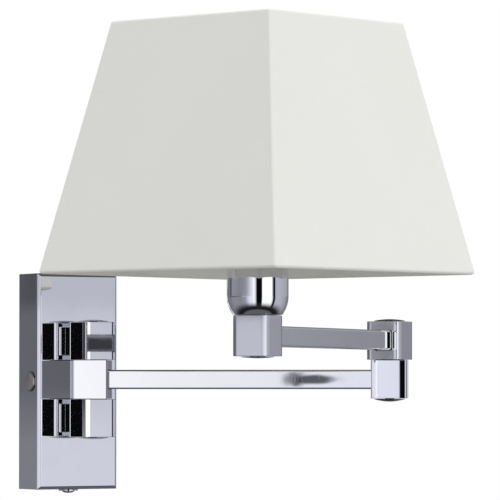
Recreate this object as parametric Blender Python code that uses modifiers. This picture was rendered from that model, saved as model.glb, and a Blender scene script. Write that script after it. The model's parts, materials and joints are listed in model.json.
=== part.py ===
"""Swing arm wall sconce: a wall box, a three-knuckle wall hinge, two square-tube arms joined by an elbow,
and a lamp holder with a square tapered shade.

Metres, +Z up. The origin is the centre of the back of the wall box, on the wall; +Y points into the wall.
"""

from math import atan2, cos, hypot, pi, radians, sin

import bmesh
import bpy

MM = 0.001
GAP = 0.3 * MM  # air between two pieces that meet
BACKWARD = (pi / 2, 0, 0)  # turns a rod's Z to point out of the wall
SIDEWAYS = (0, pi / 2, 0)

# Wall box
BOX_WIDTH = 63.5 * MM
BOX_HEIGHT = 152.3 * MM
BOX_DEPTH = 30 * MM
BOX_CHAMFER = 2 * MM
BOX_WALL = 1.5 * MM
INNER_FRONT = -BOX_DEPTH + BOX_WALL  # inner side of the box's front
SIDE_SCREW_OUT = 18 * MM  # from the wall to the side screws
SIDE_SCREW_RADIUS = 7.2 * MM
SIDE_SHANK_RADIUS = 2.5 * MM

# Bracket behind the box
BRACKET_WIDTH = 56 * MM
BRACKET_HEIGHT = 136 * MM
BRACKET_THICKNESS = 2 * MM
LUG_HEIGHT = 18 * MM
LUG_REACH = 24 * MM
WALL_SLOT_RISE = 60 * MM
WALL_SLOT_WIDTH = 14 * MM
WALL_SLOT_HEIGHT = 5 * MM
CABLE_HOLE_RISE = 24 * MM
CABLE_HOLE_RADIUS = 9 * MM
EARTH_PLACE = (-15 * MM, -32 * MM)  # x and height
EARTH_HOLE_RADIUS = 2.3 * MM

# Terminal block on the bracket
TERMINAL_SIZE = (20 * MM, 12 * MM, 16 * MM)
TERMINAL_LEVEL = 45 * MM
TERMINAL_APART = 10 * MM  # between its two screws

# Hinge blocks, all cut from the same square bar
BLOCK = 24 * MM
BLOCK_HEIGHT = 26.3 * MM
BLOCK_SPACE = 0.9 * MM  # between stacked blocks, for a washer
BLOCK_EDGE = 0.9 * MM
PITCH = BLOCK_HEIGHT + BLOCK_SPACE
HINGE_OUT = 52 * MM  # from the wall to the wall hinge's axis
ARM_LEVEL = 1.3 * MM  # height of the lower arm
HINGE_PLACE = (0, -HINGE_OUT, ARM_LEVEL)
KNUCKLE_BACK = -HINGE_OUT + BLOCK / 2

# What stands the fixed knuckles off the box and holds them there
STEM_WIDTH = 20 * MM
UPPER_STEM_LEVEL = ARM_LEVEL + PITCH
LOWER_STEM_LEVEL = ARM_LEVEL - PITCH
NIPPLE_RADIUS = 4 * MM
NIPPLE_BORE = 2.7 * MM
STEM_NUT_RADIUS = 7.5 * MM
STEM_NUT_THICKNESS = 4 * MM
STEM_SCREW_RADIUS = 2.5 * MM
STEM_SCREW_HEAD = 5 * MM
STEM_SCREW_HEAD_HEIGHT = 3 * MM

# Pivot tubes and their end caps
PIN_RADIUS = 5 * MM
PIN_BORE = 3.5 * MM
BORE_RADIUS = 5.3 * MM
CAP_RADIUS = 11 * MM
CAP_THICKNESS = 1.4 * MM
SPIGOT_RADIUS = 3.2 * MM
SPIGOT_LENGTH = 5 * MM
FIXING_TIP = -HINGE_OUT + PIN_RADIUS + 2 * GAP  # front end of what holds a fixed knuckle
WASHER_RADIUS = 10 * MM
WASHER_THICKNESS = 0.35 * MM

# Arms
LOWER_ARM = 209 * MM  # wall hinge axis to elbow axis
UPPER_ARM = 218.5 * MM  # elbow axis to lamp axis
ARM_HEIGHT = 13.5 * MM
ARM_THICKNESS = 13.5 * MM
ARM_EDGE = 1.5 * MM
ARM_WALL = 1.1 * MM
POCKET = 4 * MM  # how far an arm goes into its block
CABLE_RADIUS = 1.6 * MM
CABLE_HOLE = 2.4 * MM

# Angles at rest, in degrees about +Z
SWING = -36
ELBOW = -109
SWIVEL = 164.3

# Lamp holder, with heights above the centre of the lamp block
CUP_RADIUS = 20 * MM
CUP_SEAT_RADIUS = 15.9 * MM
CUP_BOTTOM = BLOCK_HEIGHT / 2 + 1 * MM
CUP_TURN = CUP_BOTTOM + 11.8 * MM  # where the straight wall starts
CUP_TOP = CUP_BOTTOM + 50 * MM
CUP_WALL = 1.2 * MM
SKIRT_RADIUS = 19.3 * MM
SKIRT_TOP = CUP_TOP + 25 * MM
SOCKET_BOTTOM = CUP_BOTTOM + 8 * MM
SOCKET_FLOOR = CUP_BOTTOM + 23 * MM
SOCKET_RADIUS = 17.5 * MM
SOCKET_BORE = 14.3 * MM
RING_RADIUS = 27 * MM
RING_HEIGHT = 3.5 * MM
FITTER_HEIGHT = 1.5 * MM
FITTER_RADIUS = 31 * MM
RING_SEAT = CUP_TOP + 1.4 * MM

# Shade
SHADE_BOTTOM_HALF = 101 * MM
SHADE_TOP_HALF = 67.5 * MM
SHADE_FOOT = 40.7 * MM  # height of the lower rim above the centre of the lamp block
SHADE_HEIGHT = 163.9 * MM
SHADE_WALL = 1 * MM
SHADE_CORNER = 1.6 * MM
FRAME_INSET = 2.3 * MM  # from a rim to the middle of its wire
WIRE_RADIUS = 1.2 * MM
SPOKE_RADIUS = 1.5 * MM

# Bulb
BULB_RADIUS = 30 * MM
BULB_NECK = 13.2 * MM
BULB_CAP_RADIUS = 13 * MM
BULB_WALL = 0.8 * MM
BULB_LENGTH = 104 * MM

# Push switch under the box
SWITCH_OUT = 15 * MM
BUSH_RADIUS = 5.6 * MM
SWITCH_BODY_RADIUS = 9 * MM
SWITCH_BODY_HEIGHT = 18 * MM
COLLAR_RADIUS = 6.9 * MM
COLLAR_THICKNESS = 1 * MM
BUTTON_RADIUS = 4.5 * MM
BUTTON_DROP = 2.9 * MM  # how far its dome hangs below the box
BUTTON_TRAVEL = 1.5 * MM

MATERIALS = {
    "chrome": ((0.80, 0.80, 0.83), 0.06, 1.0),
    "zinc": ((0.62, 0.62, 0.60), 0.40, 1.0),
    "brass": ((0.80, 0.62, 0.30), 0.25, 1.0),
    "nylon": ((0.12, 0.12, 0.13), 0.60, 0.0),
    "porcelain": ((0.88, 0.87, 0.83), 0.25, 0.0),
    "white_wire": ((0.85, 0.85, 0.83), 0.45, 0.0),
    "cable": ((0.80, 0.80, 0.78), 0.50, 0.0),
    "shade": ((0.90, 0.90, 0.87), 0.80, 0.0),
    "glass": ((0.95, 0.95, 0.93), 0.20, 0.0),
}


# ---------------------------------------------------------------- scene and helpers


def clear_scene():
    for obj in list(bpy.data.objects):
        bpy.data.objects.remove(obj, do_unlink=True)


def make_collection(name):
    collection = bpy.data.collections.new(name)
    bpy.context.scene.collection.children.link(collection)
    return collection


clear_scene()
PARTS = make_collection("swing_arm_wall_sconce")
CUTTERS = make_collection("cutters")


def material(kind, name):
    colour, roughness, metallic = MATERIALS[kind]
    made = bpy.data.materials.new(f"{name}_{kind}")
    made.use_nodes = True
    shader = made.node_tree.nodes["Principled BSDF"]
    shader.inputs["Base Color"].default_value = (*colour, 1)
    shader.inputs["Roughness"].default_value = roughness
    shader.inputs["Metallic"].default_value = metallic
    return made


def axis_empty(name, place, turn, parent=None):
    """An empty on a joint's axis: the pieces that turn there are its children."""
    empty = bpy.data.objects.new(name, None)
    empty.empty_display_size = 0.03
    PARTS.objects.link(empty)
    empty.parent = parent
    empty.location = place
    empty.rotation_euler = (0, 0, radians(turn))
    return empty


def add(name, data, place=(0, 0, 0), turn=(0, 0, 0), parent=None, kind=None):
    """A named object: a part with its material, or a cutter when it has none."""
    obj = bpy.data.objects.new(name, data)
    (PARTS if kind else CUTTERS).objects.link(obj)
    obj.parent = parent
    obj.location = place
    obj.rotation_euler = turn
    if kind:
        data.materials.append(material(kind, name))
    else:
        obj.hide_render = True
        obj.display_type = "WIRE"
    return obj


def mesh_from(name, bm, smooth_angle=None):
    bmesh.ops.recalc_face_normals(bm, faces=bm.faces)
    mesh = bpy.data.meshes.new(name)
    bm.to_mesh(mesh)
    bm.free()
    if smooth_angle:
        mesh.shade_smooth()
        mesh.set_sharp_from_angle(angle=radians(smooth_angle))
    return mesh


def box_mesh(name, size):
    bm = bmesh.new()
    bmesh.ops.create_cube(bm, size=1)
    bmesh.ops.scale(bm, vec=size, verts=bm.verts)
    return mesh_from(name, bm)


def rod_mesh(name, radius, length, sides=24):
    """A cylinder along Z, centred."""
    bm = bmesh.new()
    bmesh.ops.create_cone(
        bm, cap_ends=True, segments=sides, radius1=radius, radius2=radius, depth=length
    )
    return mesh_from(name, bm, 40)


def boolean(obj, operation, other):
    modifier = obj.modifiers.new(f"{operation.lower()}_{other.name}", "BOOLEAN")
    modifier.operation = operation
    modifier.object = other
    modifier.solver = "EXACT"


def cut(obj, *cutters):
    for cutter in cutters:
        boolean(obj, "DIFFERENCE", cutter)


def join(obj, *others):
    for other in others:
        boolean(obj, "UNION", other)


def bevel(obj, width, segments=2):
    modifier = obj.modifiers.new("rounded_edges", "BEVEL")
    modifier.width = width
    modifier.segments = segments
    modifier.limit_method = "ANGLE"


def box(name, size, place, kind=None, parent=None, edge=0):
    obj = add(name, box_mesh(name, size), place, parent=parent, kind=kind)
    if edge:
        bevel(obj, edge)
    return obj


def rod(name, radius, length, place, kind=None, parent=None, turn=(0, 0, 0), sides=24):
    return add(name, rod_mesh(name, radius, length, sides), place, turn, parent, kind)


def hex_nut(name, radius, bore, thickness, place, parent=None, turn=(0, 0, 0)):
    """A plain hexagonal nut, bored through, centred at its place."""
    nut = rod(name, radius, thickness, place, "zinc", parent, turn, sides=6)
    cut(nut, rod(f"{name}_bore", bore, 3 * thickness, place, None, parent, turn, sides=20))


def turned(name, profile, place, kind, parent=None, turn=(0, 0, 0), steps=24, ring=False):
    """A turned solid. The profile's points are (radius, height), down the outer side.

    A ring's profile is a closed loop clear of the axis; any other profile starts and ends on the axis.
    """
    mesh = bpy.data.meshes.new(name)
    points = [(radius, 0, height) for radius, height in profile]
    edges = [(i, i + 1) for i in range(len(points) - 1)]
    if ring:
        edges.append((len(points) - 1, 0))
    mesh.from_pydata(points, edges, [])
    obj = add(name, mesh, place, turn, parent, kind)
    screw = obj.modifiers.new("turned", "SCREW")
    screw.axis = "Z"
    screw.angle = 2 * pi
    screw.steps = steps
    screw.render_steps = steps
    screw.use_merge_vertices = True
    screw.merge_threshold = 0.00001
    screw.use_smooth_shade = True
    screw.use_normal_calculate = False
    return obj


def arc(centre, radius, start, end, count):
    """Points (radius, height) on an arc, in degrees."""
    return [
        (
            centre[0] + radius * cos(radians(start + (end - start) * i / count)),
            centre[1] + radius * sin(radians(start + (end - start) * i / count)),
        )
        for i in range(count + 1)
    ]


def rounded_rectangle(width, height, radius, corner_steps=4):
    points = []
    for corner in range(4):
        quarter = 90 * corner
        side = 1 if corner in (0, 3) else -1
        rise = 1 if corner in (0, 1) else -1
        centre = (side * (width / 2 - radius), rise * (height / 2 - radius))
        points += arc(centre, radius, quarter, quarter + 90, corner_steps)
    return points


def outline_curve(name, outlines, length):
    """A flat outline, with its holes, extruded along Z."""
    curve = bpy.data.curves.new(name, "CURVE")
    curve.dimensions = "2D"
    curve.fill_mode = "BOTH"
    curve.extrude = length / 2
    for outline in outlines:
        spline = curve.splines.new("POLY")
        spline.points.add(len(outline) - 1)
        for point, (x, y) in zip(spline.points, outline):
            point.co = (x, y, 0, 1)
        spline.use_cyclic_u = True
    return curve


def wire_curve(name, points, radius, closed=False, resolution=2):
    """A round wire through straight runs of points."""
    curve = bpy.data.curves.new(name, "CURVE")
    curve.dimensions = "3D"
    curve.bevel_depth = radius
    curve.bevel_resolution = resolution
    curve.use_fill_caps = not closed
    spline = curve.splines.new("POLY")
    spline.points.add(len(points) - 1)
    for point, place in zip(spline.points, points):
        point.co = (*place, 1)
    spline.use_cyclic_u = closed
    return curve


def smooth_route(points, steps=5):
    """More points on a smooth curve through these points (Catmull-Rom)."""
    padded = [points[0], *points, points[-1]]
    route = []
    for i in range(1, len(padded) - 2):
        before, start, end, after = padded[i - 1 : i + 3]
        for step in range(steps):
            t = step / steps
            route.append(
                tuple(
                    0.5
                    * (
                        2 * b
                        + (c - a) * t
                        + (2 * a - 5 * b + 4 * c - d) * t**2
                        + (3 * b - a - 3 * c + d) * t**3
                    )
                    for a, b, c, d in zip(before, start, end, after)
                )
            )
    route.append(points[-1])
    return route


def curve_to_mesh(obj):
    """Replaces a curve object by a mesh object with welded caps, so that a Boolean can use it."""
    bpy.context.view_layer.update()
    graph = bpy.context.evaluated_depsgraph_get()
    mesh = bpy.data.meshes.new_from_object(obj.evaluated_get(graph))
    bm = bmesh.new()
    bm.from_mesh(mesh)
    bmesh.ops.remove_doubles(bm, verts=bm.verts, dist=0.00001)
    bmesh.ops.recalc_face_normals(bm, faces=bm.faces)
    bm.to_mesh(mesh)
    bm.free()
    name, parent, place, turn = obj.name, obj.parent, obj.location[:], obj.rotation_euler[:]
    bpy.data.objects.remove(obj, do_unlink=True)
    return add(name, mesh, place, turn, parent)


def ring_profile(inner, outer, low, high, edge=0):
    """The section of a flat ring, with its outer edges chamfered."""
    if not edge:
        return [(outer, high), (outer, low), (inner, low), (inner, high)]
    return [
        (outer - edge, high),
        (outer, high - edge),
        (outer, low + edge),
        (outer - edge, low),
        (inner, low),
        (inner, high),
    ]


# ---------------------------------------------------------------- wall box and bracket


def make_box_cover():
    """A deep drawn cover, open at the back, with a chamfer round its front."""
    bm = bmesh.new()
    bmesh.ops.create_cube(bm, size=1)
    bmesh.ops.scale(bm, vec=(BOX_WIDTH, BOX_DEPTH, BOX_HEIGHT), verts=bm.verts)
    bmesh.ops.translate(bm, vec=(0, -BOX_DEPTH / 2, 0), verts=bm.verts)
    front_edges = [e for e in bm.edges if all(v.co.y < -BOX_DEPTH / 2 for v in e.verts)]
    bmesh.ops.bevel(bm, geom=front_edges, offset=BOX_CHAMFER, segments=1, affect="EDGES")
    back = [f for f in bm.faces if all(v.co.y > -GAP for v in f.verts)]
    bmesh.ops.delete(bm, geom=back, context="FACES")
    cover = add("box_cover", mesh_from("box_cover", bm), kind="chrome")
    shell = cover.modifiers.new("sheet", "SOLIDIFY")
    shell.thickness = BOX_WALL
    shell.offset = -1
    shell.use_even_offset = True
    through = 4 * BOX_WALL
    cut(
        cover,
        rod(
            "side_screw_holes", SIDE_SHANK_RADIUS + GAP, 2 * BOX_WIDTH,
            (0, -SIDE_SCREW_OUT, 0), turn=SIDEWAYS, sides=20,
        ),
        rod(
            "upper_stem_hole", NIPPLE_RADIUS + GAP, through,
            (0, -BOX_DEPTH, UPPER_STEM_LEVEL), turn=BACKWARD, sides=20,
        ),
        rod(
            "lower_stem_hole", STEM_SCREW_RADIUS + GAP, through,
            (0, -BOX_DEPTH, LOWER_STEM_LEVEL), turn=BACKWARD, sides=20,
        ),
        rod("switch_hole", BUSH_RADIUS + GAP, through, (0, -SWITCH_OUT, -BOX_HEIGHT / 2), sides=24),
    )


def make_wall_bracket():
    """A steel strap screwed to the wall, with two bent lugs that take the side screws."""
    bracket = box(
        "wall_bracket", (BRACKET_WIDTH, BRACKET_THICKNESS, BRACKET_HEIGHT),
        (0, -BRACKET_THICKNESS / 2, 0), "zinc",
    )
    through = 3 * BRACKET_THICKNESS
    lug_x = (BRACKET_WIDTH - BRACKET_THICKNESS) / 2
    for side, x in (("left", -lug_x), ("right", lug_x)):
        join(
            bracket,
            box(f"lug_{side}", (BRACKET_THICKNESS, LUG_REACH, LUG_HEIGHT), (x, -LUG_REACH / 2, 0)),
        )
    cut(
        bracket,
        rod(
            "lug_holes", SIDE_SHANK_RADIUS + GAP, 2 * BOX_WIDTH,
            (0, -SIDE_SCREW_OUT, 0), turn=SIDEWAYS, sides=16,
        ),
        rod("wall_cable_hole", CABLE_HOLE_RADIUS, through, (0, 0, CABLE_HOLE_RISE), turn=BACKWARD),
        rod(
            "earth_hole", EARTH_HOLE_RADIUS, through, (EARTH_PLACE[0], 0, EARTH_PLACE[1]),
            turn=BACKWARD, sides=12,
        ),
    )
    slot = (WALL_SLOT_WIDTH, through, WALL_SLOT_HEIGHT)
    for side, rise in (("upper", WALL_SLOT_RISE), ("lower", -WALL_SLOT_RISE)):
        cut(bracket, box(f"{side}_wall_slot", slot, (0, 0, rise)))


def make_side_screws():
    """Low domed screws that hold the cover to the bracket's lugs."""
    dome_rise = 1.9 * MM
    rim = 0.8 * MM
    shank = BOX_WIDTH / 2 + GAP - (BRACKET_WIDTH / 2 - BRACKET_THICKNESS - 2 * MM)
    profile = [(0, dome_rise)]
    for step in range(1, 4):
        part = step / 4
        profile.append(
            (SIDE_SCREW_RADIUS * 0.96 * part, rim + (dome_rise - rim) * (1 - part**2) ** 0.5)
        )
    profile += [
        (SIDE_SCREW_RADIUS * 0.97, rim),
        (SIDE_SCREW_RADIUS, rim - 0.3 * MM),
        (SIDE_SCREW_RADIUS, 0),
        (SIDE_SHANK_RADIUS, 0),
        (SIDE_SHANK_RADIUS, -shank),
        (0, -shank),
    ]
    for side, sign in (("left", -1), ("right", 1)):
        turned(
            f"side_screw_{side}", profile,
            (sign * (BOX_WIDTH / 2 + GAP), -SIDE_SCREW_OUT, 0), "chrome",
            turn=(0, sign * pi / 2, 0),
        )


# ---------------------------------------------------------------- stems and wall hinge


def make_stems():
    """Square spacers that stand the two fixed knuckles off the box."""
    front = KNUCKLE_BACK + GAP
    back = -BOX_DEPTH - GAP
    for side, level, hole in (
        ("upper", UPPER_STEM_LEVEL, NIPPLE_RADIUS + GAP),
        ("lower", LOWER_STEM_LEVEL, STEM_SCREW_RADIUS + GAP),
    ):
        stem = box(
            f"stem_{side}", (STEM_WIDTH, back - front, STEM_WIDTH),
            (0, (front + back) / 2, level), "chrome", edge=0.5 * MM,
        )
        middle = (0, (front + back) / 2, level)
        cut(stem, rod(f"stem_bore_{side}", hole, BLOCK, middle, turn=BACKWARD, sides=20))


def make_stem_fixings():
    """A hollow nipple and nut hold the upper stem and pass the cable; a screw holds the lower one."""
    nut_back = INNER_FRONT + GAP + STEM_NUT_THICKNESS
    length = nut_back + 1.5 * MM - FIXING_TIP
    turned(
        "stem_nipple", ring_profile(NIPPLE_BORE, NIPPLE_RADIUS, 0, length),
        (0, FIXING_TIP + length, UPPER_STEM_LEVEL), "brass", turn=BACKWARD, steps=20, ring=True,
    )
    hex_nut(
        "stem_nut", STEM_NUT_RADIUS, NIPPLE_RADIUS + GAP, STEM_NUT_THICKNESS,
        (0, nut_back - STEM_NUT_THICKNESS / 2, UPPER_STEM_LEVEL), turn=BACKWARD,
    )
    head_back = INNER_FRONT + GAP + STEM_SCREW_HEAD_HEIGHT
    rim = 1 * MM
    turned(
        "stem_screw",
        [
            (0, 0),
            (STEM_SCREW_HEAD - rim, 0),
            (STEM_SCREW_HEAD, rim),
            (STEM_SCREW_HEAD, STEM_SCREW_HEAD_HEIGHT),
            (STEM_SCREW_RADIUS, STEM_SCREW_HEAD_HEIGHT),
            (STEM_SCREW_RADIUS, head_back - FIXING_TIP),
            (0, head_back - FIXING_TIP),
        ][::-1],
        (0, head_back, LOWER_STEM_LEVEL), "zinc", turn=BACKWARD, steps=20,
    )


def hinge_block(name, place, parent, side_hole=None):
    """A square block with rounded edges, bored for its pivot tube."""
    block = box(name, (BLOCK, BLOCK, BLOCK_HEIGHT), place, "chrome", parent, BLOCK_EDGE)
    cut(block, rod(f"{name}_bore", BORE_RADIUS, 2 * BLOCK_HEIGHT, place, parent=parent))
    return block


def make_fixed_knuckles():
    for side, level, hole in (
        ("upper", UPPER_STEM_LEVEL, NIPPLE_RADIUS + GAP),
        ("lower", LOWER_STEM_LEVEL, STEM_SCREW_RADIUS + GAP),
    ):
        knuckle = hinge_block(f"knuckle_{side}", (0, -HINGE_OUT, level), None)
        place = (0, KNUCKLE_BACK, level)
        length = 2 * (BLOCK / 2 - PIN_RADIUS)
        cut(knuckle, rod(f"knuckle_hole_{side}", hole, length, place, turn=BACKWARD, sides=20))


def pivot_tube(name, low, high, place, parent, windows):
    """A hollow pivot tube with windows at the heights where a cable turns into an arm."""
    tube = turned(
        name, ring_profile(PIN_BORE, PIN_RADIUS, low, high), place, "zinc", parent, ring=True
    )
    for level, direction in windows:
        tip = (place[0] + PIN_RADIUS * cos(direction), place[1] + PIN_RADIUS * sin(direction), level)
        window = rod(
            f"{name}_window_{level / MM:.0f}", CABLE_HOLE, 2 * PIN_RADIUS, tip, parent=parent,
            turn=(0, pi / 2, direction), sides=12,
        )
        cut(tube, window)
    return tube


def pivot_cap(name, level, place, parent, upward, thickness=CAP_THICKNESS):
    """A disc with a rounded rim that closes a pivot tube, on a spigot pressed into its bore."""
    sign = 1 if upward else -1
    rim = 0.6 * thickness
    profile = [(0, thickness)]
    profile += [(CAP_RADIUS - rim, thickness)]
    profile += arc((CAP_RADIUS - rim, thickness - rim), rim, 60, 0, 2)
    profile += [
        (CAP_RADIUS, 0),
        (SPIGOT_RADIUS, 0),
        (SPIGOT_RADIUS, -SPIGOT_LENGTH),
        (0, -SPIGOT_LENGTH),
    ]
    turned(
        name, profile, (place[0], place[1], level + sign * GAP), "chrome", parent,
        turn=(0 if upward else pi, 0, 0), steps=28,
    )


def washer(name, low_block_top, place, parent):
    """A thin nylon washer in the space between two blocks."""
    low = low_block_top + (BLOCK_SPACE - WASHER_THICKNESS) / 2
    turned(
        name,
        ring_profile(BORE_RADIUS, WASHER_RADIUS, low, low + WASHER_THICKNESS),
        (place[0], place[1], 0), "nylon", parent, ring=True,
    )


def make_wall_hinge():
    place = (0, -HINGE_OUT, 0)
    half = PITCH + BLOCK_HEIGHT / 2
    pivot_tube(
        "hinge_pin", ARM_LEVEL - half, ARM_LEVEL + half, place, None,
        [(UPPER_STEM_LEVEL, pi / 2), (ARM_LEVEL, radians(SWING))],
    )
    pivot_cap("hinge_cap_top", ARM_LEVEL + half, place, None, True)
    pivot_cap("hinge_cap_bottom", ARM_LEVEL - half, place, None, False)
    washer("hinge_washer_upper", ARM_LEVEL + BLOCK_HEIGHT / 2, place, None)
    washer("hinge_washer_lower", ARM_LEVEL - PITCH + BLOCK_HEIGHT / 2, place, None)


# ---------------------------------------------------------------- arms


def arm_tube(name, start, end, parent):
    """A square tube with rounded edges, along the parent's X."""
    outer = rounded_rectangle(ARM_THICKNESS, ARM_HEIGHT, ARM_EDGE)
    inner = rounded_rectangle(
        ARM_THICKNESS - 2 * ARM_WALL, ARM_HEIGHT - 2 * ARM_WALL, ARM_EDGE - ARM_WALL
    )
    curve = outline_curve(name, [outer, inner], end - start)
    add(name, curve, ((start + end) / 2, 0, 0), (pi / 2, 0, pi / 2), parent, "chrome")


def cut_pocket(block, x, toward, parent):
    """The pocket that an arm's end goes into, and the cable's way on to the pivot tube."""
    face = x + toward * BLOCK / 2
    outline = rounded_rectangle(ARM_THICKNESS + 2 * GAP, ARM_HEIGHT + 2 * GAP, ARM_EDGE + GAP)
    name = f"{block.name}_pocket"
    curve = add(
        name, outline_curve(name, [outline], 2 * (POCKET + GAP)), (face, 0, 0),
        (pi / 2, 0, pi / 2), parent,
    )
    cut(block, curve_to_mesh(curve))
    cut(
        block,
        rod(
            f"{block.name}_cable_way", CABLE_HOLE, BLOCK / 2, (x + toward * BLOCK / 4, 0, 0),
            parent=parent, turn=SIDEWAYS, sides=12,
        ),
    )


def cable_run(name, start, end, parent):
    """The twin cable inside an arm, drawn as one round core."""
    curve = wire_curve(name, [(start, 0, 0), ((start + end) / 2, 0, 0), (end, 0, 0)], CABLE_RADIUS)
    add(name, curve, parent=parent, kind="cable")


def make_lower_arm(pivot):
    """The arm that turns between the two fixed knuckles, and the lower half of the elbow."""
    elbow = (LOWER_ARM, 0, 0)
    middle = hinge_block("knuckle_middle", (0, 0, 0), pivot)
    cut_pocket(middle, 0, 1, pivot)
    end_block = hinge_block("elbow_block_lower", elbow, pivot)
    cut_pocket(end_block, LOWER_ARM, -1, pivot)
    reach = BLOCK / 2 - POCKET
    arm_tube("lower_arm_tube", reach, LOWER_ARM - reach, pivot)
    cable_run("lower_arm_cable", PIN_RADIUS + 1 * MM, LOWER_ARM - PIN_RADIUS - 1 * MM, pivot)
    half = BLOCK_HEIGHT / 2
    pivot_tube(
        "elbow_pin", -half, PITCH + half, elbow, pivot, [(0, pi), (PITCH, radians(ELBOW))]
    )
    pivot_cap("elbow_cap_top", PITCH + half, elbow, pivot, True)
    pivot_cap("elbow_cap_bottom", -half, elbow, pivot, False, 2 * MM)
    washer("elbow_washer", half, elbow, pivot)


def make_upper_arm(elbow):
    """The arm from the elbow to the lamp, one block higher."""
    upper_block = hinge_block("elbow_block_upper", (0, 0, 0), elbow)
    cut_pocket(upper_block, 0, 1, elbow)
    lamp_block = hinge_block("lamp_block", (UPPER_ARM, 0, 0), elbow)
    cut_pocket(lamp_block, UPPER_ARM, -1, elbow)
    reach = BLOCK / 2 - POCKET
    arm_tube("upper_arm_tube", reach, UPPER_ARM - reach, elbow)
    cable_run("upper_arm_cable", PIN_RADIUS + 1 * MM, UPPER_ARM - PIN_RADIUS - 1 * MM, elbow)


# ---------------------------------------------------------------- lamp holder


def cup_side(radius, bottom, seat_radius, turn_height, count):
    """The outer or inner side of the cup below its straight wall: an arc to the flat seat."""
    drop = turn_height - bottom
    inward = radius - seat_radius
    bend = (drop**2 + inward**2) / (2 * inward)
    end = -atan2(drop, bend - inward)
    return arc((radius - bend, turn_height), bend, 0, end * 180 / pi, count)


def make_holder(lamp):
    """The swivelling holder: nipple, cup, nut and the porcelain socket with its brass shell."""
    half = BLOCK_HEIGHT / 2
    here = (0, 0, 0)
    turned(
        "lamp_nipple", ring_profile(PIN_BORE, PIN_RADIUS, -half, SOCKET_BOTTOM + 4 * MM), here, "zinc",
        lamp, ring=True,
    )
    pivot_cap("lamp_cap", -half, here, lamp, False, 1 * MM)
    washer_low = half + GAP
    turned(
        "lamp_washer", ring_profile(BORE_RADIUS, WASHER_RADIUS, washer_low, washer_low + 0.4 * MM),
        here, "nylon", lamp, ring=True,
    )
    outer = cup_side(CUP_RADIUS, CUP_BOTTOM, CUP_SEAT_RADIUS, CUP_TURN, 5)
    inner = cup_side(
        CUP_RADIUS - CUP_WALL, CUP_BOTTOM + CUP_WALL, CUP_SEAT_RADIUS - CUP_WALL, CUP_TURN, 5
    )
    profile = [(CUP_RADIUS, CUP_TOP), *outer, (BORE_RADIUS, CUP_BOTTOM)]
    profile += [(BORE_RADIUS, CUP_BOTTOM + CUP_WALL), *reversed(inner)]
    profile += [(CUP_RADIUS - CUP_WALL, CUP_TOP)]
    turned("holder_cup", profile, here, "chrome", lamp, steps=36, ring=True)
    nut_thickness = 3 * MM
    nut_middle = CUP_BOTTOM + CUP_WALL + GAP + nut_thickness / 2
    hex_nut("holder_nut", 9 * MM, BORE_RADIUS, nut_thickness, (0, 0, nut_middle), lamp)
    skirt_low = CUP_TOP + GAP
    turned(
        "socket_body",
        [
            (SKIRT_RADIUS, SKIRT_TOP),
            (SKIRT_RADIUS, skirt_low),
            (SOCKET_RADIUS, skirt_low),
            (SOCKET_RADIUS, SOCKET_BOTTOM),
            (BORE_RADIUS, SOCKET_BOTTOM),
            (BORE_RADIUS, SOCKET_FLOOR),
            (SOCKET_BORE, SOCKET_FLOOR),
            (SOCKET_BORE, SKIRT_TOP),
        ],
        here, "porcelain", lamp, ring=True,
    )
    shell_low = SOCKET_FLOOR + 2 * MM
    shell_high = shell_low + 22 * MM
    turned(
        "socket_shell", ring_profile(SOCKET_BORE - 0.8 * MM, SOCKET_BORE - GAP, shell_low, shell_high),
        here, "brass", lamp, ring=True,
    )
    tongue = (14 * MM, 4 * MM, 0.6 * MM)
    box("socket_contact", tongue, (0, 0, SOCKET_FLOOR + GAP + tongue[2] / 2), "brass", lamp)


def make_shade_rings(lamp):
    """Two threaded rings on the socket's skirt, which clamp the shade's fitter between them."""
    upper_seat = RING_SEAT + RING_HEIGHT + 2 * GAP + FITTER_HEIGHT
    for name, low in (("shade_ring_lower", RING_SEAT), ("shade_ring_upper", upper_seat)):
        turned(
            name,
            ring_profile(SKIRT_RADIUS + GAP, RING_RADIUS, low, low + RING_HEIGHT, 0.6 * MM),
            (0, 0, 0), "porcelain", lamp, ring=True,
        )


# ---------------------------------------------------------------- shade


def shade_half(height):
    """Half the shade's outer width at a height above its lower rim."""
    return SHADE_BOTTOM_HALF + (SHADE_TOP_HALF - SHADE_BOTTOM_HALF) * height / SHADE_HEIGHT


def square_wire(name, height, parent, kind=None):
    """A square ring of wire just inside the shade, with rounded corners."""
    half = shade_half(height) - SHADE_WALL - GAP - 1.15 * WIRE_RADIUS
    outline = rounded_rectangle(2 * half, 2 * half, 4 * MM, 3)
    points = [(x, y, SHADE_FOOT + height) for x, y in outline]
    curve = wire_curve(name, points, WIRE_RADIUS, closed=True, resolution=1)
    return add(name, curve, parent=parent, kind=kind)


def make_shade_skin(lamp):
    """Fabric on a stiff backing: a square frustum, open at both ends."""
    bm = bmesh.new()
    bmesh.ops.create_cube(bm, size=1)
    for vert in bm.verts:
        height = SHADE_HEIGHT if vert.co.z > 0 else 0
        half = shade_half(height)
        vert.co = (2 * half * vert.co.x, 2 * half * vert.co.y, SHADE_FOOT + height)
    ends = [f for f in bm.faces if abs(f.normal.z) > 0.9]
    bmesh.ops.delete(bm, geom=ends, context="FACES")
    corners = [e for e in bm.edges if abs(e.verts[0].co.z - e.verts[1].co.z) > SHADE_HEIGHT / 2]
    bmesh.ops.bevel(bm, geom=corners, offset=SHADE_CORNER, segments=2, profile=0.5, affect="EDGES")
    skin = add("shade_skin", mesh_from("shade_skin", bm), parent=lamp, kind="shade")
    wall = skin.modifiers.new("wall", "SOLIDIFY")
    wall.thickness = SHADE_WALL
    wall.offset = -1
    wall.use_even_offset = True


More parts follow.
